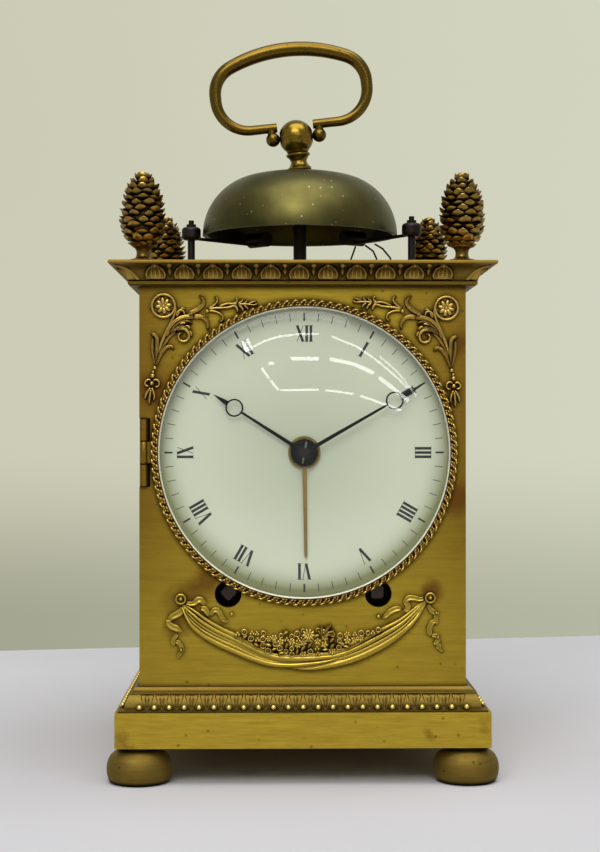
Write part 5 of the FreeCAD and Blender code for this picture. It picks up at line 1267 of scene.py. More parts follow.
@dataclass
class Cornice:
    """Cornice with a plain fascia over a cove of upright leaves."""

    half_x: float = 45.0
    half_y: float = 50.0
    foot: float = 2.4
    reach_x: float = 5.4
    reach_y: float = 6.6
    base: float = 136.3
    top: float = 142.8
    cove_start: float = 137.65
    cove_rise: float = 4.05
    well_x: float = 37.5
    well_y: float = 41.5
    ledge: Pair = (35.5, 37.5)
    plate: float = 2.0
    pitch: float = 7.85
    front_shift: float = -1.0
    leaf_half: float = 3.2
    columns: int = 28

    def out(self, share: float, front: bool) -> float:
        """How far the moulding stands out from the middle at a share of its projection."""
        half, reach = (self.half_y, self.reach_y) if front else (self.half_x, self.reach_x)
        return half + self.foot + share * reach

    def cove(self, t: float) -> Pair:
        """Share of the projection and height along the cove."""
        angle = t * math.pi / 2
        return 0.05 + 0.8 * (1 - math.cos(angle)), self.cove_start + self.cove_rise * math.sin(angle)

    def moulding(self) -> Piece:
        """The run moulding, with the ledge that carries the top plate.

        Returns:
            The closed moulding.
        """
        base, top = self.base, self.top
        steps = [(0.0, base), (0.0, base + 0.2), (0.09, base + 0.3), (0.11, base + 1.1), (0.04, base + 1.25),
                 *(self.cove(step / 8) for step in range(9)), (0.9, top - 1.02), (0.97, top - 0.95),
                 (1.0, top - 0.85), (1.0, top - 0.35), (0.985, top - 0.12), (0.94, top)]
        outside = [(self.out(share, False), self.out(share, True), height) for share, height in steps]
        seat = top - self.plate
        inside = [(self.well_x, self.well_y, top), (self.well_x, self.well_y, seat), (*self.ledge, seat)]
        return frame_moulding([(*self.ledge, base), *outside, *inside])

    def mapped(self, across: float, t: float, rise: float, front: bool) -> Vector:
        """A point of a leaf on the front cove, or on the right-hand one.

        Args:
            across: Place along the side.
            t: Share of the way up the cove.
            rise: How far it stands out of the cove.
            front: Whether it is on the front.

        Returns:
            The point in millimetres.
        """
        share, height = self.cove(t)
        angle = t * math.pi / 2
        return against(front, across, self.out(share, front) + rise * math.cos(angle),
                       height - rise * math.sin(angle))

    def leaf(self, front: bool) -> Piece:
        """One upright leaf: a bright rim round a hollow field with ribs that fan out from its foot.

        Args:
            front: Whether it is for the front, rather than the right-hand side.

        Returns:
            The leaf.
        """
        def shape(u: float, t: float) -> Vector:
            """Outline drawn in at the foot, full below the middle and pointed above, with a small knob.

            Args:
                u: Place across, from -1 to 1.
                t: Place along, from 0 to 1.

            Returns:
                The point in millimetres.
            """
            waist = 0.84 + 0.16 * min(1.0, t * 4)
            half = self.leaf_half * waist * (1 - t ** 2.3) ** 0.95 + 0.3 * pulse(t, 0.96, 0.05)
            rim = 0.62 * pulse(abs(u), 0.88, 0.11) + 0.5 * pulse(t, 0.86, 0.07) * (1 - u * u)
            field = 0.34 * (1 - u * u)
            ribs = 0.24 * math.cos(u * math.pi * 5) * (1 - u ** 6) * min(1.0, t * 4, (1 - t) * 4)
            rise = (0.3 + rim + field + ribs) * math.sqrt(max(0.0, 1 - abs(u) ** 12)) * min(1.0, (1 - t) * 9)
            return self.mapped(u * half, 0.06 + t * 0.9, rise - 0.16, front)
        return relief(self.columns, 12, shape, against(front, 0, 1, -0.5), 0.25)

    def sprig(self, front: bool) -> Piece:
        """The small drop between two leaves, under a raised eye.

        Args:
            front: Whether it is for the front, rather than the right-hand side.

        Returns:
            The drop.
        """
        def shape(u: float, t: float) -> Vector:
            """A drop on a thin stalk that ends in a ring.

            Args:
                u: Place across, from -1 to 1.
                t: Place along, from 0 to 1.

            Returns:
                The point in millimetres.
            """
            half = 0.16 + 0.5 * pulse(t, 0.42, 0.16) + 0.8 * pulse(t, 0.86, 0.09)
            rise = 0.8 * math.sqrt(max(0.0, 1 - u * u)) * min(1.0, (1 - t) * 6, t * 5)
            rise -= 0.5 * pulse(t, 0.86, 0.04) * pulse(u, 0.0, 0.4)
            return self.mapped(self.pitch / 2 + u * half, 0.12 + t * 0.84, rise - 0.04, front)
        return relief(10, 12, shape, against(front, 0, 1, -0.5), 0.2)

    def corner_leaf(self, front: bool) -> Piece:
        """Half of the leaf that wraps a corner, up to the mitre.

        Args:
            front: Whether it is for the front, rather than the right-hand side.

        Returns:
            The half leaf.
        """
        def shape(u: float, t: float) -> Vector:
            """A swept half leaf, widest at its foot.

            Args:
                u: Place across, from -1 to 1.
                t: Place along, from 0 to 1.

            Returns:
                The point in millimetres.
            """
            level = 0.02 + t * 0.93
            width = 3.3 * (1 - t) ** 0.85 + 0.05
            across = (u + 1) / 2
            rise = 0.5 * math.sqrt(max(0.0, across)) + 0.3 * pulse(across, 0.2, 0.12) - 0.1
            rise *= min(1.0, (1 - t) * 6)
            place = self.out(self.cove(level)[0], not front) + rise - width * (1 - across)
            return self.mapped(place if front else -place, level, rise, front)
        return relief(12, 8, shape, against(front, 0, 1, -0.5), 0.2)

    def build(self) -> None:
        """Model the cornice and its ornament."""
        row: list[Piece] = []
        for front, count, shift in ((True, 5, self.front_shift), (False, 6, 0.0)):
            places = [step * self.pitch + shift for step in range(-count, count + 1)]
            corner = self.corner_leaf(front)
            flip = Matrix.Scale(-1, 4, Vector((1, 0, 0) if front else (0, 1, 0)))
            row += [*spaced(self.leaf(front), front, places), *spaced(self.sprig(front), front, places[:-1]),
                    corner, copied(corner, flip)]
        settle(both_ways(row), "cornice_leaves", "case", Slot.CASE, GILT_LEAF)
        settle([self.moulding()], "cornice_moulding", "case", Slot.CASE, GILT_GROUND, "cornice")


@dataclass
class PlinthMoulding:
    """Plinth moulding with a plain fillet, hanging tongues and a row of beads.

    Args:
        outline: How far each step stands out of the body, and its height.
    """

    half_x: float = 45.0
    half_y: float = 50.0
    front_pitch: float = 4.06
    side_pitch: float = 4.13
    bead: float = 0.8
    bead_out: float = 4.6
    bead_level: float = 20.95
    inner: Pair = (39.0, 44.0)
    outline: tuple[Pair, ...] = (
        (5.5, 19.8), (5.5, 20.2), (4.9, 20.35), (3.9, 20.6), (3.7, 22.0), (3.0, 23.4), (2.5, 24.5),
        (2.75, 24.6), (2.7, 24.85), (2.1, 25.0), (1.5, 25.5), (1.15, 25.9), (0.9, 26.1))

    def slope(self, height: float) -> float:
        """How far the slope behind the tongues stands out at a height.

        Args:
            height: The height in millimetres.

        Returns:
            The distance in millimetres.
        """
        for (out_a, low), (out_b, high) in zip(self.outline, self.outline[1:]):
            if low <= height <= high:
                return out_a + (out_b - out_a) * (height - low) / (high - low)
        return self.outline[-1][0]

    def tongue(self, front: bool, pitch: float) -> Piece:
        """One low worn tongue that hangs between two beads.

        Args:
            front: Whether it is for the front, rather than the right-hand side.
            pitch: Distance between two beads.

        Returns:
            The tongue.
        """
        def shape(u: float, t: float) -> Vector:
            """Wide and flat at the top, pointed at the foot, with a hollow on each side of its rib.

            Args:
                u: Place across, from -1 to 1.
                t: Place along, from 0 to 1.

            Returns:
                The point in millimetres.
            """
            height = 24.3 - 4.1 * t
            half = 0.44 * pitch * (1 - t ** 2.2) ** 0.8 + 0.03
            rise = 0.5 * math.sqrt(max(0.0, 1 - u ** 4)) - 0.3 * pulse(abs(u), 0.5, 0.22) * (1 - t)
            rise = (rise + 0.2 * pulse(u, 0, 0.16)) * min(1.0, (1 - t) * 4 + 0.2, t * 4)
            out = max(self.slope(height), 3.0 + 1.0 * t) + rise - 0.3
            return against(front, pitch / 2 + u * half, (self.half_y if front else self.half_x) + out, height)
        return relief(14, 8, shape, against(front, 0, 1, 0), 0.3)

    def build(self) -> None:
        """Model the moulding and its ornament."""
        beads: list[Piece] = []
        tongues: list[Piece] = []
        for front, half, count, pitch in ((True, self.half_y, 11, self.front_pitch),
                                          (False, self.half_x, 12, self.side_pitch)):
            places = [step * pitch for step in range(-count, count + 1)]
            spot = against(front, 0, half + self.bead_out, self.bead_level)
            beads += spaced(ball((self.bead, self.bead, self.bead * 1.05), spot), front, places)
            tongues += spaced(self.tongue(front, pitch), front, places[:-1])
        settle(both_ways(beads), "plinth_beads", "case", Slot.CASE, GILT_BEAD)
        settle(both_ways(tongues), "plinth_tongues", "case", Slot.CASE, GILT_DULL)
        levels = [(self.half_x + out, self.half_y + out, height) for out, height in self.outline]
        moulding = frame_moulding([(*self.inner, levels[0][2]), *levels, (*self.inner, levels[-1][2])])
        settle([moulding], "plinth_run_moulding", "case", Slot.CASE, GILT_DULL, "plinth_moulding")


@dataclass
class Feet:
    """Four flattened bun feet, widest low down, each under a small collar."""

    outline: tuple[Pair, ...] = ((7.3, 0.0), (7.9, 0.25), (8.5, 1.0), (8.9, 2.2), (9.05, 3.6), (8.95, 5.0),
                                 (8.6, 6.3), (7.9, 7.5), (6.9, 8.4), (5.7, 8.95), (5.1, 9.15), (4.9, 9.4),
                                 (4.9, 10.05))

    def build(self) -> None:
        """Model the feet."""
        _, high = node_box("bun_feet")
        radius = max(self.outline)[0]
        x, y = high.x - radius, high.y - radius
        model = smooth(turned(self.outline, segments=64), 35)
        feet = copies(model, [move(side * x, end * y, 0) for side in (-1, 1) for end in (-1, 1)])
        settle(feet, "flattened_feet", "case", Slot.CASE, GILT_FEET, "bun_feet")


@dataclass
class PineCones:
    """Four pine cone finials with staggered scales."""

    inset_x: float = 44.0
    inset_y: float = 49.5
    floor: float = 142.8
    start: float = 4.4
    height: float = 20.0
    radius: float = 5.7
    rows: int = 13
    per_row: int = 9
    teeth: int = 36
    profile: tuple[float, ...] = (0.55, 0.86, 0.96, 1.0, 1.0, 0.98, 0.94, 0.86, 0.74, 0.56, 0.28)
    pedestal: tuple[Pair, ...] = ((3.3, 0.0), (3.35, 0.25), (3.35, 0.75), (3.0, 0.95), (2.3, 1.2),
                                  (1.85, 1.8), (1.75, 2.6), (1.9, 3.4), (2.3, 4.0), (3.0, 4.4))

    def swell(self, t: float) -> float:
        """Radius of the core at a share of the cone's height."""
        return self.radius * along(self.profile, min(max(t, 0.0), 1.0))

    def scale_model(self) -> Piece:
        """One scale: a flat lozenge drawn out to a blunt lip that turns up.

        Returns:
            The scale, about one unit wide.
        """
        scale = added(bpy.ops.mesh.primitive_circle_add, vertices=8, radius=1.0, fill_type="NGON")
        with editing(scale):
            bpy.ops.transform.resize(value=(1.0, 0.5, 1.0), center_override=(0, 0, 0))
            for lift, narrow, forward in ((0.5, 0.9, 0.12), (0.42, 0.7, 0.24), (0.3, 0.4, 0.2)):
                bpy.ops.mesh.extrude_region_move(TRANSFORM_OT_translate={"value": (0, forward, lift)})
                bpy.ops.transform.resize(value=(narrow, narrow * 0.9, 1.0))
        return smooth(outward(scale), 50)

    def cone(self, seed: int) -> list[Piece]:
        """Core, stem and scales of one finial at the origin.

        Args:
            seed: The start of its chances.

        Returns:
            Its pieces.
        """
        draw = random.Random(seed)
        core = [(max(0.4, self.swell(t) - 0.75), self.start + t * (self.height - 0.6))
                for t in (0.04, 0.12, 0.25, 0.4, 0.55, 0.7, 0.82, 0.92, 1.0)]
        tooth = ball((0.17, 0.3, 0.42), (0, -3.35, 0.55), 6, 4)
        pieces = [smooth(turned([*self.pedestal, *core], segments=32), 50),
                  *copies(tooth, [turn(math.tau * step / self.teeth, "Z") for step in range(self.teeth)])]
        places: list[Matrix] = []
        for row in range(self.rows):
            t = (row + 0.35) / self.rows
            around = self.per_row if t < 0.8 else 6
            size = 0.5 + 0.55 * self.swell(t) / self.radius
            tip = math.radians(4 + 50 * t ** 3)
            for step in range(around):
                bearing = math.tau * (step + (row % 2) / 2 + draw.uniform(-0.14, 0.14)) / around
                spot = move(0, -self.swell(t) + 0.8 + draw.uniform(-0.25, 0.2),
                            self.start + t * self.height + draw.uniform(-0.28, 0.28))
                spread = Vector((1.85 * draw.uniform(0.85, 1.12), 1.25, 1.3)) * size
                grow = Matrix.Diagonal((*(spread * MM), 1))
                face = turn(math.pi / 2 - tip + draw.uniform(-0.24, 0.24), "X")
                lean = turn(draw.uniform(-0.22, 0.22), "Y")
                places.append(turn(bearing, "Z") @ spot @ lean @ face @ grow)
        crown = ball((1.7, 1.7, 0.9), (0, 0, self.start + self.height - 0.3), 8, 5)
        return [*pieces, *copies(self.scale_model(), places), crown]

    def build(self) -> None:
        """Model the four finials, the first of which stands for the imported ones."""
        for number, (x, y) in enumerate(((-1, -1), (1, -1), (-1, 1), (1, 1)), start=1):
            stand = move(x * self.inset_x, y * self.inset_y, self.floor) @ turn(0.7 * number, "Z")
            cone = joined(self.cone(number), "cone")
            cone.data.transform(stand)
            nodes = ("pinecone_finials",) if number == 1 else ()
            settle([cone], f"pine_cone_{number}", "case", Slot.CASE, GILT_CONE, *nodes)


@dataclass
class Bezel:
    """Bezel: a turned channel with a painted highlight on its sight edge and a twisted rope on top, round a
    domed glass.

    Args:
        lobes: Share of a strand, place off the rope's middle, radii and lean in degrees of each lobe.
    """

    outside: float = 42.2
    strands: int = 108
    rope: float = 41.1
    rope_lift: float = 2.25
    dome_edge: float = 39.5
    dome_rise: float = 4.4
    dome_pole: float = 0.2
    dome_steps: int = 24
    glass_thick: float = 1.1
    rim_edge: float = 40.2
    rim_lift: float = 2.95
    knuckle: float = 6.1
    channel: tuple[Pair, ...] = ((39.75, 0.1), (42.15, 0.1), (42.25, 0.4), (42.1, 1.2), (41.6, 1.7),
                                 (40.5, 2.1), (40.1, 2.9), (40.0, 2.95), (39.9, 2.5), (39.75, 0.3))
    glint_lip: tuple[Pair, ...] = ((39.62, 2.2), (39.68, 2.8), (39.84, 3.3), (39.95, 3.35), (40.05, 3.1),
                             (39.95, 2.2))
    lobes: tuple[tuple[float, float, Triple, float], ...] = (
        (0.0, 0.66, (0.86, 0.34, 0.5), 14.0), (0.45, -0.56, (0.6, 0.36, 0.48), 22.0),
        (0.1, -0.5, (0.36, 0.3, 0.36), 0.0), (0.7, 0.12, (0.5, 0.26, 0.4), 38.0),
        (0.2, 0.1, (0.4, 0.24, 0.36), 30.0))

    def ring(self, outline: Sequence[Pair]) -> Piece:
        """A turned ring about the dial's centre, from radii and lifts off the panel.

        Args:
            outline: Radius and lift of each step.

        Returns:
            The ring, facing the front.
        """
        ring = without_faces(turned([*outline, outline[0]], segments=160), is_disc)
        ring.data.transform(on_panel(*DIAL))
        return smooth(outward(ring), 50)

    def glass(self) -> Piece:
        """The domed glass: two round faces on one centre, over a flat rim in the rebate.

        Returns:
            The glass, facing the front.
        """
        outer = (self.dome_edge ** 2 + self.dome_rise ** 2) / (2 * self.dome_rise)
        inner = outer - self.glass_thick
        centre = self.rim_lift + self.dome_rise - outer
        count = self.dome_steps
        radii = [*(self.dome_edge * step / count for step in range(count, 0, -1)), self.dome_pole]
        front = [(wide, centre + math.sqrt(outer ** 2 - wide ** 2)) for wide in radii]
        back = [(wide, centre + math.sqrt(inner ** 2 - wide ** 2)) for wide in reversed(radii[1:])]
        foot = self.rim_lift - self.glass_thick
        rim = [(self.dome_edge - 0.5, foot), (self.rim_edge, foot), (self.rim_edge, self.rim_lift)]
        glass = turned([*back, *rim, *front], segments=128)
        glass.data.transform(on_panel(*DIAL))
        return smooth(outward(glass), 10)

    def rope_pieces(self) -> list[Piece]:
        """The lobes of every strand.

        Returns:
            The lobes.
        """
        pieces: list[Piece] = []
        for share, outer, radii, lean in self.lobes:
            leaning = turn(math.radians(lean), "Z")
            place = move(0, self.rope + outer, self.rope_lift - 0.1 * abs(outer)) @ leaning
            angles = [-math.tau * (step + share) / self.strands for step in range(self.strands)]
            pieces += copies(ball(radii, segments=8, rings=6),
                             [on_panel(*DIAL) @ turn(angle, "Z") @ place for angle in angles])
        return pieces

    def hinge(self) -> list[Piece]:
        """The knuckle and leaf on the left.

        Returns:
            The knuckle and the leaf.
        """
        x, _, z = DIAL
        edge = x - self.outside
        half = self.knuckle / 2
        knuckle = turned([(1.0, 0.1 - half), (1.1, 0.25 - half), (1.1, half - 0.25), (1.0, half - 0.1)],
                         (edge - 1.9, PANEL_Y - 0.4, z), 20)
        leaf = bar((edge - 1.9, PANEL_Y - 0.9, z - half + 0.2),
                   (edge + 0.6, PANEL_Y + 0.05, z + half - 0.2), 0.12)
        return [smooth(knuckle), leaf]

    def build(self) -> None:
        """Model the bezel."""
        settle(self.rope_pieces(), "bezel_rope", "bezel", Slot.MOUNTS, GILT_ROPE)
        settle(self.hinge(), "bezel_hinge_leaf", "bezel", Slot.MOUNTS, GILT_PANEL)
        settle([self.ring(self.channel)], "bezel_channel", "bezel", Slot.MOUNTS, GILT_EDGE, "bezel_ring")
        # A near-white ring paints the highlight on the glass's edge.
        settle([self.ring(self.glint_lip)], "bezel_painted_glint", "bezel", Slot.MOUNTS, PAINTED_GLINT_LIP)
        settle([self.glass()], "domed_glass", "bezel", Slot.GLASS, CLOCK_GLASS, "bezel_glass")


LOW, HIGH = 30.55, 34.95
LETTERS: dict[str, tuple[float, tuple[tuple[float, ...], ...]]] = {
    "I": (1.16, ((0.62, LOW, 0.62, HIGH, 0.74), (0.0, LOW, 1.24, LOW, 0.12), (0.0, HIGH, 1.24, HIGH, 0.12))),
    "V": (2.6, ((0.45, HIGH, 1.4, LOW, 0.74), (2.3, HIGH, 1.5, LOW, 0.16), (0.0, HIGH, 0.95, HIGH, 0.1),
                (1.9, HIGH, 2.7, HIGH, 0.1))),
    "X": (2.45, ((0.45, HIGH, 2.05, LOW, 0.74), (2.05, HIGH, 0.45, LOW, 0.16), (0.0, HIGH, 0.95, HIGH, 0.1),
                 (1.55, LOW, 2.5, LOW, 0.1))),
}


@dataclass
class DialMarks:
    """Numerals and minute marks fired into the enamel, from each letter's advance and strokes."""

    face: float = -49.6
    skin: float = 0.03
    minute_in: float = 36.2
    minute_out: float = 38.5
    minute_thick: float = 0.19
    hour_thick: float = 0.5
    numerals: str = "XII I II III IIII V VI VII VIII IX X XI"

    def stroke(self, ends: Sequence[float], thick: float, angle: float) -> Piece:
        """One stroke between two points, given across and out from the centre.

        Args:
            ends: Places across and out of its start and its end.
            thick: Its thickness.
            angle: Its turn round the dial, in radians.

        Returns:
            The stroke.
        """
        start, end = Vector(ends[:2]), Vector(ends[2:])
        run, middle = end - start, (start + end) / 2
        half = Vector((thick / 2, run.length / 2))
        piece = bar((-half.x, -self.skin, -half.y), (half.x, self.skin / 2, half.y), 0.01, 1)
        about = move(DIAL[0], self.face, DIAL[2]) @ turn(angle, "Y")
        piece.data.transform(about @ move(middle.x, 0, middle.y) @ turn(math.atan2(run.x, run.y), "Y"))
        return piece

    def build(self) -> None:
        """Model every stroke and join them."""
        strokes: list[Piece] = []
        for hour, numeral in enumerate(self.numerals.split()):
            left = -sum(LETTERS[letter][0] for letter in numeral) / 2
            for letter in numeral:
                advance, parts = LETTERS[letter]
                strokes += [self.stroke((left + x, out, left + end_x, end_out), thick, math.tau * hour / 12)
                            for x, out, end_x, end_out, thick in parts]
                left += advance
        mark = (0, self.minute_in, 0, self.minute_out)
        for minute in range(60):
            thick = self.minute_thick if minute % 5 else self.hour_thick
            strokes.append(self.stroke(mark, thick, math.tau * minute / 60))
        settle(strokes, "dial_numerals", "case", Slot.ENAMEL, ENAMEL_INK)


@dataclass(frozen=True)
class Hand:
    """One hand: a boss, a tapered stem, an open ring and an arrow point.

    Args:
        name: Name of the finished piece.
        node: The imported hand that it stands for.
        body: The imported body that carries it.
        angle: Where it points, in degrees round the dial from twelve.
        ring_at: Distance of the ring's middle from the centre.
        reach: Distance of the tip.
        boss: Radius of the boss.
    """

    name: str
    node: str
    body: str
    angle: float
    ring_at: float
    reach: float
    boss: float
    ring: float = 2.26
    wire: float = 0.23
    flatness: float = 0.55

    def build(self) -> None:
        """Model the hand and hang it on its arbor."""
        low, high = node_box(self.node)
        level, half = (low.y + high.y) / 2, (high.y - low.y) / 2
        arrow = self.ring_at + self.ring
        stem = spindle([(self.boss - 0.4, 0.56), (self.ring_at * 0.6, 0.44),
                        (self.ring_at - self.ring + 0.1, 0.3)])
        point = spindle([(arrow - 0.15, 0.66), (arrow + 0.5, 0.8), ((arrow + self.reach) / 2, 0.42),
                         (self.reach, 0.08)])
        ring = hoop(self.ring, self.wire, (0, 0, self.ring_at), 40, 8)
        boss = smooth(turned([(self.boss - 0.12, -half), (self.boss, -half * 0.4), (self.boss, half * 0.3),
                              (self.boss - 0.3, half * 0.9), (self.boss - 0.9, half)]), 50)
        boss.data.transform(turn(math.pi / 2, "X"))
        swing = move(DIAL[0], level, DIAL[2]) @ turn(math.radians(self.angle), "Y")
        flat = Matrix.Scale(self.flatness, 4, Vector((0, 1, 0)))
        for piece, place in ((stem, swing @ flat), (point, swing @ flat), (ring, swing), (boss, swing)):
            piece.data.transform(place)
        settle([stem, point, ring, boss], self.name, self.body, Slot.BLUE, HAND_STEEL, self.node)


# ---------------------------------------------------------------------------------------------------
# Chased mounts on the front panel


@dataclass(frozen=True)
class Spine:
    """A smooth line through points on the front panel."""

    points: tuple[Pair, ...]

    def at(self, t: float) -> tuple[Vector, Vector]:
        """Place and sideways direction.

        Args:
            t: Share of the way along, from 0 to 1.

        Returns:
            The place and the direction to the left of the way, across and up.
        """
        last = len(self.points) - 1
        step = min(int(t * last), last - 1)
        s = t * last - step
        a, b, c, d = (Vector(self.points[min(max(step + shift, 0), last)]) for shift in (-1, 0, 1, 2))
        square, cube = 2 * a - 5 * b + 4 * c - d, 3 * b - a - 3 * c + d
        place = 0.5 * (2 * b + (c - a) * s + square * s ** 2 + cube * s ** 3)
        way = 0.5 * ((c - a) + 2 * square * s + 3 * cube * s ** 2)
        way.normalize()
        return place, Vector((-way.y, way.x))


@dataclass(frozen=True)
class Frond:
    """A chased leaf, fold or stem that follows a line on the front panel.

    Args:
        spine: Points of the middle line, in millimetres across and up.
        widths: Half widths along the line, in millimetres.
        height: How far the middle stands out, in millimetres.
        ribs: Number of flutes on each side of the middle.
        jag: Depth of the notches of the edge, as a share of the width.
        lift: How far the whole leaf is raised, in millimetres.
        hollow: Depth of the trough along the middle, as a share of the height.
        notches: Number of notches along each edge.
    """

    spine: tuple[Pair, ...]
    widths: tuple[float, ...]
    height: float = 0.9
    ribs: int = 0
    jag: float = 0.0
    lift: float = 0.0
    hollow: float = 0.0
    notches: int = 9

    def model(self) -> Piece:
        """Model the leaf on the panel.

        Returns:
            The leaf.
        """
        line = Spine(self.spine)

        def shape(u: float, t: float) -> Vector:
            """A rounded section with flutes, closing to its ends.

            Args:
                u: Place across, from -1 to 1.
                t: Place along, from 0 to 1.

            Returns:
                The point in millimetres.
            """
            place, side = line.at(t)
            notch = 1 - self.jag * abs(math.sin(t * math.pi * self.notches)) * abs(u)
            end = min(1.0, 5 * (1 - t) + 0.15, 8 * t + 0.3)
            spot = place + side * (u * along(self.widths, t) * notch)
            flute = 0.16 * self.height * math.cos(u * math.pi * 2 * self.ribs) if self.ribs else 0.0
            rise = (self.height * math.sqrt(max(0.0, 1 - u ** 4)) + flute * (1 - u * u)) * end
            rise -= self.hollow * self.height * (1 - u * u) ** 2 * end
            rise += self.lift * min(1.0, 6 * (1 - t), 6 * t) * (1 - u ** 8)
            return Vector((spot.x, PANEL_Y - rise + 0.1 * abs(u), spot.y))

        return relief(8 + 4 * self.ribs, max(10, 5 * len(self.spine)), shape, Vector((0, -1, 0)))


def petals(middle: Triple, count: int, reach: float, thick: float, start: float = 0.0) -> list[Piece]:
    """A small open blossom: petals round a button, facing the front.

    Args:
        middle: Place of the button.
        count: Number of petals.
        reach: Radius of the blossom.
        thick: Half the thickness of a petal.
        start: Turn of the first petal, in radians.

    Returns:
        The petals and the button.
    """
    petal = ball((reach * 0.5, thick, 0.62 * reach * math.pi / count), (reach * 0.58, 0, 0), 8, 6)
    places = [move(*middle) @ turn(start + math.tau * step / count, "Y") for step in range(count)]
    return [*copies(petal, places), ball((reach * 0.24, thick * 1.3, reach * 0.24), middle, 8, 6)]


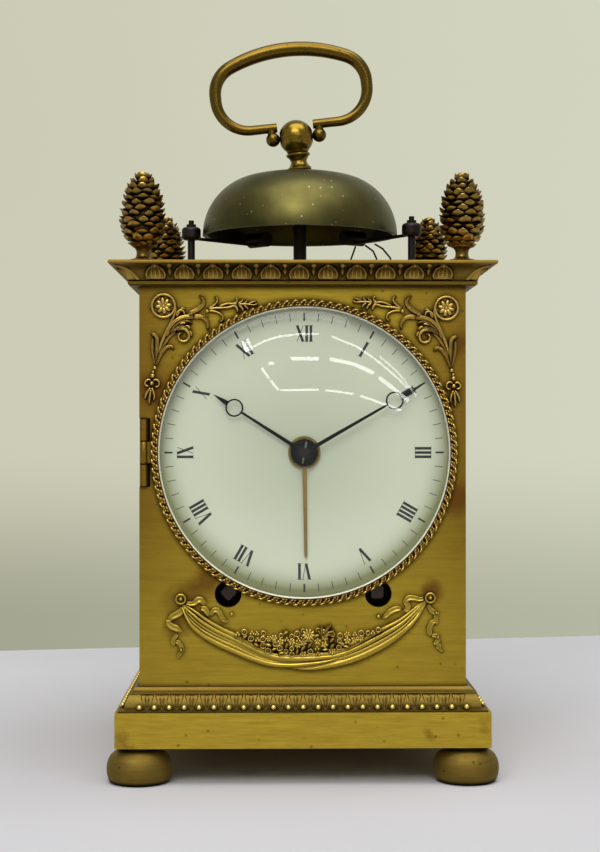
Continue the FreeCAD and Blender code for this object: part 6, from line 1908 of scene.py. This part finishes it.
@dataclass
class Spandrels:
    """Two mirrored corner mounts of scrolling acanthus, each with a rosette above and a tassel below."""

    left_rosette: Pair = (-38.3, 130.9)
    left_lean: float = 3.2
    rosette: Pair = (39.6, 130.3)
    ring_radius: float = 3.15
    ring_wire: float = 0.36
    fronds: tuple[Frond, ...] = (
        # stem that leaves the ring and runs down to the root
        Frond(((36.5, 131.0), (36.2, 129.6), (36.4, 128.3), (37.0, 126.4), (37.8, 124.6), (38.6, 122.6),
               (39.4, 120.6), (40.1, 118.2), (40.6, 115.4)), (0.34, 0.42, 0.5, 0.58, 0.55, 0.5), 1.0),
        # main branch with flutes, up to the fork
        Frond(((38.7, 121.6), (37.9, 123.4), (36.7, 125.2), (35.4, 126.5), (33.9, 127.3), (32.2, 127.7),
               (30.6, 127.8)), (0.5, 0.8, 0.95, 0.85, 0.7), 1.25, 1),
        # leaf that curls down and away under the fork
        Frond(((31.4, 127.6), (30.1, 127.9), (28.8, 127.8), (27.7, 127.0), (27.1, 125.9), (27.1, 124.9),
               (27.4, 124.3)), (0.7, 0.75, 0.6, 0.5, 0.4, 0.2), 1.1, 1),
        # leaf that swings up into a hook
        Frond(((32.9, 127.9), (31.6, 129.0), (30.3, 129.8), (29.2, 130.7), (28.6, 131.7), (28.7, 132.7),
               (29.4, 133.3), (30.1, 133.6)), (0.7, 0.75, 0.7, 0.55, 0.4, 0.2), 1.15, 1),
        # small leaf curled round a hollow, beside the ring
        Frond(((36.1, 128.0), (35.6, 128.9), (34.8, 129.4), (34.0, 129.1), (33.8, 128.4), (34.3, 128.0)),
              (0.35, 0.42, 0.42, 0.36, 0.2), 1.15),
        # bright lobes on the outer edge of the volute
        Frond(((34.9, 125.4), (33.9, 125.9), (33.0, 125.7)), (0.25, 0.5, 0.2), 1.5),
        Frond(((33.2, 125.2), (32.3, 124.9), (31.8, 124.1)), (0.25, 0.48, 0.2), 1.5),
        Frond(((32.1, 123.9), (31.5, 123.1), (31.5, 122.2)), (0.25, 0.46, 0.2), 1.45),
        # sprig beside the ring
        Frond(((36.0, 127.4), (35.3, 128.7), (34.7, 129.7), (34.0, 129.9), (33.5, 129.2)),
              (0.5, 0.5, 0.35, 0.2), 0.9),
        # fan over the hollow
        Frond(((37.2, 123.6), (36.2, 124.9), (34.9, 125.9), (33.4, 126.4), (32.1, 126.3), (31.5, 125.6)),
              (0.5, 0.55, 0.5, 0.4, 0.25), 1.3, 1),
        Frond(((37.6, 122.9), (36.4, 123.8), (35.0, 124.5), (33.5, 124.8), (32.3, 124.3), (31.8, 123.3)),
              (0.6, 0.8, 0.8, 0.6, 0.4), 1.2, 2, 0.25),
        # volute
        Frond(((35.4, 124.0), (34.0, 124.4), (32.7, 123.8), (32.1, 122.6), (32.5, 121.3), (33.6, 120.8),
               (34.7, 121.3), (35.0, 122.4), (34.4, 123.1), (33.7, 122.9)),
              (0.7, 0.62, 0.55, 0.48, 0.42, 0.35, 0.25), 1.25),
        # ribbed underside of the branch
        Frond(((35.6, 123.4), (36.9, 122.6), (38.0, 121.3), (39.0, 119.4), (39.9, 117.2), (40.5, 115.2)),
              (0.35, 0.55, 0.6, 0.55, 0.4), 0.8, 1, 0.2),
        # stems of the far bud
        Frond(((27.6, 129.6), (25.9, 129.6), (24.5, 129.3), (23.4, 128.6), (23.1, 127.6), (23.6, 126.9),
               (24.3, 127.1)), (0.5, 0.42, 0.38, 0.34, 0.3, 0.2), 0.9),
        Frond(((27.4, 130.2), (26.4, 130.7), (25.5, 131.5), (24.9, 132.4), (25.1, 133.3), (25.9, 133.5)),
              (0.45, 0.42, 0.38, 0.34, 0.2), 1.0),
        Frond(((27.6, 130.0), (25.6, 130.4), (23.8, 130.6), (22.0, 130.8), (20.3, 131.3), (18.6, 131.6)),
              (0.4, 0.5, 0.45, 0.5, 0.35), 1.0),
        Frond(((24.6, 130.9), (23.2, 131.5), (21.8, 131.9), (20.2, 131.9), (18.8, 131.8)),
              (0.3, 0.42, 0.45, 0.42, 0.3), 1.1),
        # leaflets of the bud, in pairs towards its tip
        Frond(((20.4, 131.6), (19.6, 131.0), (19.2, 130.2), (19.3, 129.5)), (0.45, 0.5, 0.4, 0.15), 1.1),
        Frond(((19.0, 131.6), (18.2, 131.1), (17.7, 130.3), (17.8, 129.7)), (0.45, 0.45, 0.35, 0.15), 1.0),
        Frond(((17.6, 131.8), (16.9, 131.3), (16.4, 130.7), (16.4, 130.1)), (0.4, 0.4, 0.3, 0.12), 0.9),
        Frond(((20.6, 131.9), (19.8, 132.3), (19.4, 132.9), (19.7, 133.5)), (0.4, 0.42, 0.35, 0.15), 1.1),
        Frond(((19.2, 132.0), (18.5, 132.5), (18.0, 133.0), (18.1, 133.6)), (0.4, 0.4, 0.3, 0.12), 1.0),
        Frond(((17.8, 132.0), (17.2, 132.4), (16.8, 132.9), (16.9, 133.5)), (0.35, 0.38, 0.3, 0.12), 0.9),
        Frond(((19.4, 131.8), (17.8, 132.0), (16.2, 132.0), (14.8, 131.9), (13.7, 131.9)),
              (0.4, 0.42, 0.38, 0.34, 0.15), 1.0),
        Frond(((16.4, 132.1), (15.4, 132.6), (14.6, 132.9), (14.0, 132.7)), (0.3, 0.34, 0.28, 0.12), 0.9),
        # outer fluted trumpet and its hook
        Frond(((40.7, 113.9), (40.8, 116.2), (40.8, 118.6), (40.8, 120.6), (41.2, 121.9), (42.2, 122.4),
               (42.9, 122.2)), (0.3, 0.5, 0.62, 0.6, 0.45, 0.2), 1.1, 1),
        Frond(((40.9, 113.9), (41.5, 116.2), (41.9, 118.4), (42.0, 120.3), (41.9, 121.5)),
              (0.28, 0.42, 0.48, 0.42, 0.2), 1.0, 1),
        # inner leaf that hooks over
        Frond(((40.8, 113.6), (40.1, 115.8), (39.3, 117.5), (38.3, 118.8), (37.1, 119.3), (36.4, 118.9),
               (36.3, 118.1)), (0.35, 0.5, 0.55, 0.5, 0.4, 0.2), 1.1, 1),
        # bow
        Frond(((41.5, 109.3), (40.7, 109.9), (39.8, 109.5), (39.6, 108.5), (40.3, 107.9), (41.2, 108.4)),
              (0.3, 0.38, 0.38, 0.35, 0.25), 1.0),
        Frond(((41.7, 109.3), (42.5, 109.8), (43.3, 109.3), (43.4, 108.5), (42.7, 108.0), (41.9, 108.4)),
              (0.3, 0.38, 0.38, 0.35, 0.25), 1.0),
        # tassel
        Frond(((41.6, 107.7), (41.0, 106.3), (40.7, 105.0), (41.0, 103.8)), (0.35, 0.5, 0.4, 0.15), 1.0),
        Frond(((41.8, 107.7), (42.6, 106.5), (43.1, 105.3), (43.2, 104.2)), (0.35, 0.5, 0.4, 0.15), 1.0),
        Frond(((41.7, 107.2), (41.9, 105.6), (42.0, 104.2), (41.9, 102.8)), (0.3, 0.45, 0.4, 0.15), 1.15),
    )
    beads: tuple[Triple, ...] = (
        (27.5, 129.5, 0.62), (41.0, 113.1, 0.55), (41.4, 111.9, 0.42), (41.5, 110.9, 0.66),
        (41.6, 108.8, 0.6), (19.7, 133.4, 0.34), (25.0, 132.2, 0.36), (31.9, 128.6, 0.5), (14.2, 132.1, 0.36))

    def right_mount(self) -> list[Piece]:
        """The right-hand mount.

        Returns:
            Its pieces.
        """
        x, z = self.rosette
        ground = turned([(2.9, -0.2), (2.9, 0.15), (2.6, 0.22)], segments=32)
        ground.data.transform(on_panel(x, PANEL_Y, z))
        return [*(frond.model() for frond in self.fronds), ground,
                hoop(self.ring_radius, self.ring_wire, (x, PANEL_Y - 0.75, z), 40, 8),
                *petals((x, PANEL_Y - 0.55, z), 8, 2.35, 0.38, 0.2),
                *(ball(size, (across, PANEL_Y - 0.75, up), 10, 6) for across, up, size in self.beads)]

    def build(self) -> None:
        """Model the pair."""
        right = joined(self.right_mount(), "mount")
        (x, z), (left_x, left_z) = self.rosette, self.left_rosette
        flip = Matrix.Scale(-1, 4, Vector((1, 0, 0))) @ move(-x, 0, -z)
        left = copied(right, move(left_x, 0, left_z) @ turn(math.radians(self.left_lean), "Y") @ flip)
        for side, mount in (("right", right), ("left", left)):
            settle([mount], f"{side}_acanthus_spandrel", "case", Slot.MOUNTS, GILT_CAST, f"{side}_spandrel")


@dataclass
class Swag:
    """Draped cloth between two buttons, with a garland on it and fluttering ribbons at its ends."""

    buttons: tuple[Pair, ...] = ((-33.6, 50.2), (35.1, 50.4))
    top_edge: tuple[Pair, ...] = (
        (-33.0, 48.9), (-30.0, 47.6), (-26.0, 44.9), (-21.6, 42.4), (-17.1, 40.1), (-12.8, 37.4),
        (-8.6, 35.4), (-4.4, 34.8), (0.0, 34.7), (4.1, 34.9), (8.7, 35.5), (13.4, 37.4), (18.0, 40.0),
        (22.6, 42.5), (26.2, 44.3), (29.8, 46.9), (33.8, 50.0))
    bottom_edge: tuple[Pair, ...] = (
        (-33.4, 47.6), (-31.6, 43.6), (-28.6, 40.4), (-24.0, 37.6), (-18.4, 35.0), (-12.4, 32.5),
        (-7.4, 31.4), (-3.0, 30.7), (1.0, 30.5), (6.0, 31.0), (11.0, 31.9), (16.0, 33.3), (21.0, 35.4),
        (26.0, 38.6), (30.2, 42.3), (33.0, 46.2), (34.6, 49.6))
    fold_widths: tuple[float, ...] = (0.35, 0.7, 0.95, 1.05, 1.1, 1.05, 0.95, 0.7, 0.35)
    shares: tuple[float, ...] = (0.09, 0.3, 0.52, 0.74)
    folds: tuple[tuple[tuple[Pair, ...], tuple[float, ...], float, float], ...] = (
        (((-33.3, 48.0), (-31.3, 44.0), (-28.4, 41.0), (-24.0, 38.3), (-19.0, 36.0), (-14.0, 33.9),
          (-9.0, 32.4), (-4.0, 32.0), (1.0, 32.3), (6.0, 33.0), (11.0, 34.2), (15.0, 35.6)),
         (0.35, 0.75, 0.95, 0.95, 0.9, 0.8, 0.5, 0.2), 1.5, 0.5),
        (((-4.0, 31.1), (1.0, 31.0), (6.0, 31.6), (11.0, 32.7), (16.0, 34.4), (21.0, 36.8), (26.0, 40.0),
          (30.4, 43.9), (33.4, 47.8)),
         (0.15, 0.6, 0.95, 1.15, 1.2, 1.1, 0.8, 0.4), 1.3, 0.4))
    buds: tuple[Triple, ...] = ((-19.6, 46.0, 0.55), (20.8, 45.3, 0.6), (-33.5, 36.1, 0.45),
                                (37.2, 39.5, 0.4), (36.8, 46.2, 0.42), (22.2, 41.8, 0.5))
    ribbons: tuple[tuple[tuple[Pair, ...], tuple[float, ...], float], ...] = (
        (((-32.4, 49.3), (-31.0, 48.9), (-29.9, 49.1), (-28.9, 49.9), (-27.9, 49.8), (-26.9, 48.6)),
         (0.49, 0.67, 0.97, 1.03, 0.73), 1.2),
        (((-28.2, 47.6), (-27.0, 47.4), (-26.2, 46.4), (-25.6, 45.2)), (0.6, 1.0, 0.97, 0.5), 0.96),
        (((-25.2, 45.4), (-25.0, 46.6), (-24.1, 47.2), (-23.0, 46.6), (-22.3, 45.2), (-21.4, 44.2),
          (-20.4, 44.1)),
         (0.49, 0.73, 0.91, 0.85, 0.73, 0.42), 1.12),
        (((-33.0, 48.2), (-33.4, 46.9), (-34.6, 46.0), (-36.0, 45.3), (-37.0, 44.4)),
         (0.61, 1.03, 1.10, 0.97, 0.67), 1.2),
        (((-37.0, 44.6), (-36.8, 43.3), (-35.8, 42.5), (-34.6, 42.0), (-33.4, 41.2)),
         (0.61, 0.97, 1.03, 0.97, 0.49), 0.88),
        (((-34.4, 40.4), (-35.3, 39.6), (-35.7, 38.4), (-35.2, 37.2)), (0.4, 0.7, 0.85, 0.4), 0.96),
        (((-35.2, 38.6), (-34.2, 38.2), (-33.4, 37.0), (-33.3, 35.9), (-34.0, 34.9), (-34.5, 33.6)),
         (0.49, 0.73, 0.79, 0.67, 0.37), 1.04),
        (((33.6, 50.3), (32.2, 50.0), (30.8, 50.3), (29.4, 50.4), (28.4, 49.7), (28.0, 48.5)),
         (0.49, 0.73, 0.85, 0.91, 0.61), 1.2),
        (((28.0, 49.2), (28.9, 48.4), (28.8, 47.3), (27.6, 46.6)), (0.55, 0.97, 0.97, 0.49), 0.88),
        (((27.4, 47.3), (26.0, 47.4), (24.8, 47.0), (23.7, 46.3), (22.6, 45.3), (21.6, 44.7)),
         (0.49, 0.91, 0.97, 0.79, 0.42), 1.12),
        (((34.4, 48.7), (35.1, 47.4), (36.0, 46.5), (37.2, 46.1)), (0.42, 0.73, 0.91, 0.49), 1.12),
        (((37.3, 46.4), (36.7, 45.2), (36.8, 43.9), (37.4, 43.0)), (0.49, 0.79, 0.73, 0.37), 0.88),
        (((36.6, 44.2), (35.5, 43.4), (34.9, 42.0), (35.0, 40.6), (35.7, 39.6)),
         (0.49, 0.85, 0.91, 0.79, 0.42), 1.12),
        (((35.4, 40.0), (36.6, 39.9), (37.3, 39.2), (36.8, 38.2), (36.0, 37.7)),
         (0.42, 0.73, 0.79, 0.67, 0.37), 1.04),
        (((35.9, 38.0), (37.0, 37.8), (37.6, 37.1), (37.2, 36.3)), (0.42, 0.67, 0.67, 0.37), 0.96),
        (((36.6, 36.9), (37.5, 36.6), (38.2, 35.8), (38.6, 35.1)), (0.37, 0.55, 0.49, 0.18), 0.88),
    )
    ribbon_hollow: float = 0.55
    crest: tuple[Pair, ...] = (
        (-19.4, 41.6), (-15.0, 42.0), (-11.0, 41.1), (-7.0, 41.2), (-3.0, 41.2), (1.0, 42.3), (6.0, 42.4),
        (11.0, 41.6), (16.0, 41.9), (20.0, 43.1), (23.6, 42.2))
    pitch: float = 1.72
    seed: int = 17
    row_share: float = 0.94
    floret_share: float = 0.4
    blossom_share: float = 0.66
    leaf_share: float = 0.88
    spray_root: Pair = (5.3, 39.9)

    def cloth(self) -> list[Piece]:
        """The cloth behind and the folds that run along it.

        Returns:
            The cloth and the folds.
        """
        top, bottom = Spine(self.top_edge), Spine(self.bottom_edge)

        def shape(u: float, t: float) -> Vector:
            """Flat between the two edges, rounded down to the panel."""
            spot = top.at(t)[0].lerp(bottom.at(t)[0], (u + 1) / 2)
            return Vector((spot.x, PANEL_Y - 0.55 * math.sqrt(max(0.0, 1 - u ** 6)) + 0.1, spot.y))

        folds = [Frond(spine, widths, height, lift=lift) for spine, widths, height, lift in self.folds]
        stops = [step / 16 for step in range(17)]
        for number, share in enumerate(self.shares):
            drifts = [(t, share + 0.05 * math.sin(2.2 * math.pi * t + number)) for t in stops]
            line = tuple(tuple(top.at(t)[0].lerp(bottom.at(t)[0], drift)) for t, drift in drifts)
            narrow = tuple(width * (0.8 + 0.12 * ((number + step) % 3))
                           for step, width in enumerate(self.fold_widths))
            folds.append(Frond(line, narrow, 0.95 + 0.2 * (number % 2), lift=0.45))
        return [relief(12, 80, shape, Vector((0, -1, 0))), *(fold.model() for fold in folds)]

    def garland(self) -> list[Piece]:
        """Packed florets, blossoms, leaves and berries on the cloth.

        Returns:
            Its pieces.
        """
        draw = random.Random(self.seed)
        top, low = Spine(self.crest), Spine(self.top_edge)
        flowers: list[Piece] = []
        steps = round((self.crest[-1][0] - self.crest[0][0]) / self.pitch)
        rise = self.pitch * self.row_share
        for column in range(steps + 1):
            high, _ = top.at(column / steps)
            foot = min((low.at(s / 120)[0] for s in range(121)), key=lambda spot: abs(spot.x - high.x))
            rows = max(1, round((high.y - foot.y) / rise))
            for row in range(rows):
                z = foot.y + 0.35 + (row + 0.5 * (column % 2) * (rows > 1)) * rise
                if z > high.y - 0.2:
                    continue
                x = high.x + draw.uniform(-0.22, 0.22)
                mound = 1.0 + 0.9 * math.sin(math.pi * (row + 0.7) / (rows + 0.6))
                flowers += self.flower(draw, x, mound, z)
        flowers += petals((1.5, PANEL_Y - 2.1, 40.3), 10, 1.9, 0.28)
        root = self.spray_root
        for tip in ((7.9, 43.2), (8.9, 41.7), (8.2, 40.4), (5.1, 42.9), (3.9, 41.9)):
            middle = ((root[0] + tip[0]) / 2 - 0.1, (root[1] + tip[1]) / 2 + 0.25)
            flowers.append(Frond((root, middle, tip), (0.2, 0.5, 0.1), 0.6, 1, lift=1.7).model())
        for root, tip in (((9.6, 38.3), (12.2, 36.9)), ((12.2, 37.2), (14.9, 38.8)),
                          ((-12.0, 38.6), (-9.6, 37.2))):
            middle = ((root[0] + tip[0]) / 2, (root[1] + tip[1]) / 2 + 0.2)
            flowers.append(Frond((root, middle, tip), (0.2, 0.85, 0.1), 0.7, 1, 0.15, 1.2).model())
        return flowers

    def flower(self, draw: random.Random, x: float, mound: float, z: float) -> list[Piece]:
        """One floret, blossom, leaf or trio of berries, by chance.

        Args:
            draw: The garland's chances.
            x: Where it lies across.
            mound: How far it stands out of the panel.
            z: Where it lies in height.

        Returns:
            Its pieces.
        """
        middle = (x, PANEL_Y - mound, z + draw.uniform(-0.15, 0.15))
        kind = draw.random()
        if kind < self.floret_share:
            size = draw.uniform(0.5, 0.78)
            return [hoop(size, 0.24, middle, 12, 6), ball(0.2, middle, 6, 4),
                    ball((size, 0.5, size), (x, middle[1] + 0.55, middle[2]), 8, 6)]
        if kind < self.blossom_share:
            return petals(middle, draw.choice((5, 6)), draw.uniform(0.95, 1.15), 0.26, draw.uniform(0, 1))
        if kind < self.leaf_share:
            angle = draw.uniform(-0.9, 1.4)
            reach = Vector((math.cos(angle), math.sin(angle))) * 1.1
            spine = tuple((x + reach.x * s, z + reach.y * s + 0.15 * (1 - s * s)) for s in (-1, 0, 1))
            return [Frond(spine, (0.15, 0.62, 0.08), 0.6, 1, lift=mound).model()]
        return [ball(0.42, (x + dx, middle[1], z + dz), 8, 6)
                for dx, dz in ((0, 0.3), (-0.38, -0.3), (0.38, -0.28))]

    def fastenings(self) -> list[Piece]:
        """Buttons at the ends and the little flowers on the ribbons.

        Returns:
            The pieces.
        """
        pieces = [ball(size, (x, PANEL_Y - 0.8, z), 10, 6) for x, z, size in self.buds]
        for x, z in self.buttons:
            pieces += [hoop(1.25, 0.34, (x, PANEL_Y - 0.85, z)),
                       ball((1.15, 0.7, 1.15), (x, PANEL_Y - 0.25, z), 16, 10),
                       ball((0.55, 0.6, 0.55), (x, PANEL_Y - 1.0, z))]
        return pieces

    def build(self) -> None:
        """Model the swag."""
        ribbons = [Frond(*ribbon, hollow=self.ribbon_hollow).model() for ribbon in self.ribbons]
        settle([*self.cloth(), *ribbons, *self.fastenings()], "draped_swag", "case", Slot.MOUNTS, GILT_SWAG,
               "swag_mount")
        settle(self.garland(), "swag_garland", "case", Slot.MOUNTS, GILT_GARLAND)


ASSEMBLIES = (
    Cornice(), PlinthMoulding(), Feet(), PineCones(), Bezel(), DialMarks(),
    Hand("open_hour_hand", "hour_hand", "hour_train", 302.6, 22.8, 29.5, 3.75),
    Hand("open_minute_hand", "minute_hand", "minute_train", 60.1, 28.6, 38.0, 3.1),
    Spandrels(), Swag(), Studio())


# ---------------------------------------------------------------------------------------------------
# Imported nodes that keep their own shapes

NODE_FINISHES: tuple[tuple[Finish, str], ...] = (
    (GILT_FEET, "bun_feet"), (GILT_PLAIN, "plinth_slab"), (GILT_LEAF, "plinth_moulding cornice"),
    (GILT_PANEL, "front_panel side_panels rear_frame back_door top_plate"), (GILT_CONE, "pinecone_finials"),
    (GILT_KNOB, "door_knob handle_knob"), (GILT_HANDLE, "bail_handle"), (BELL_BRONZE, "bell"),
    (GILT_CAST, "bezel_ring left_spandrel right_spandrel swag_mount"),
    (CLOCK_GLASS, "door_glass bezel_glass"),
    (ENAMEL, "dial"), (BRASS_HAND, "alarm_hand"), (HAND_STEEL, "hand_collet"),
    (BLUED, "hour_hand minute_hand going_click strike_click hairspring small_screws"),
    (SQUARE_STEEL, "going_arbor strike_arbor"),
    (DARK_STEEL, "case_screws hinge_pins bell_pillar left_hammer right_hammer hammer_springs centre_arbor"),
    (DARK_STEEL, "going_mainspring strike_mainspring fly pallet_lever"),
)


def dress_nodes() -> None:
    """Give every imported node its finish, which is the movement's brass where the table has no other."""
    finishes = {name: finish for finish, names in NODE_FINISHES for name in names.split()}
    for name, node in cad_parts.items():
        node.data.materials.clear()
        node.data.materials.append(finishes.get(name, BRASS_WORKS).build())


def main() -> None:
    """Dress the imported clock, add its ornament and set the studio up."""
    logging.basicConfig(level=logging.INFO, format="%(name)s: %(message)s")
    dress_nodes()
    for assembly in ASSEMBLIES:
        assembly.build()


if __name__ == "__main__":
    main()
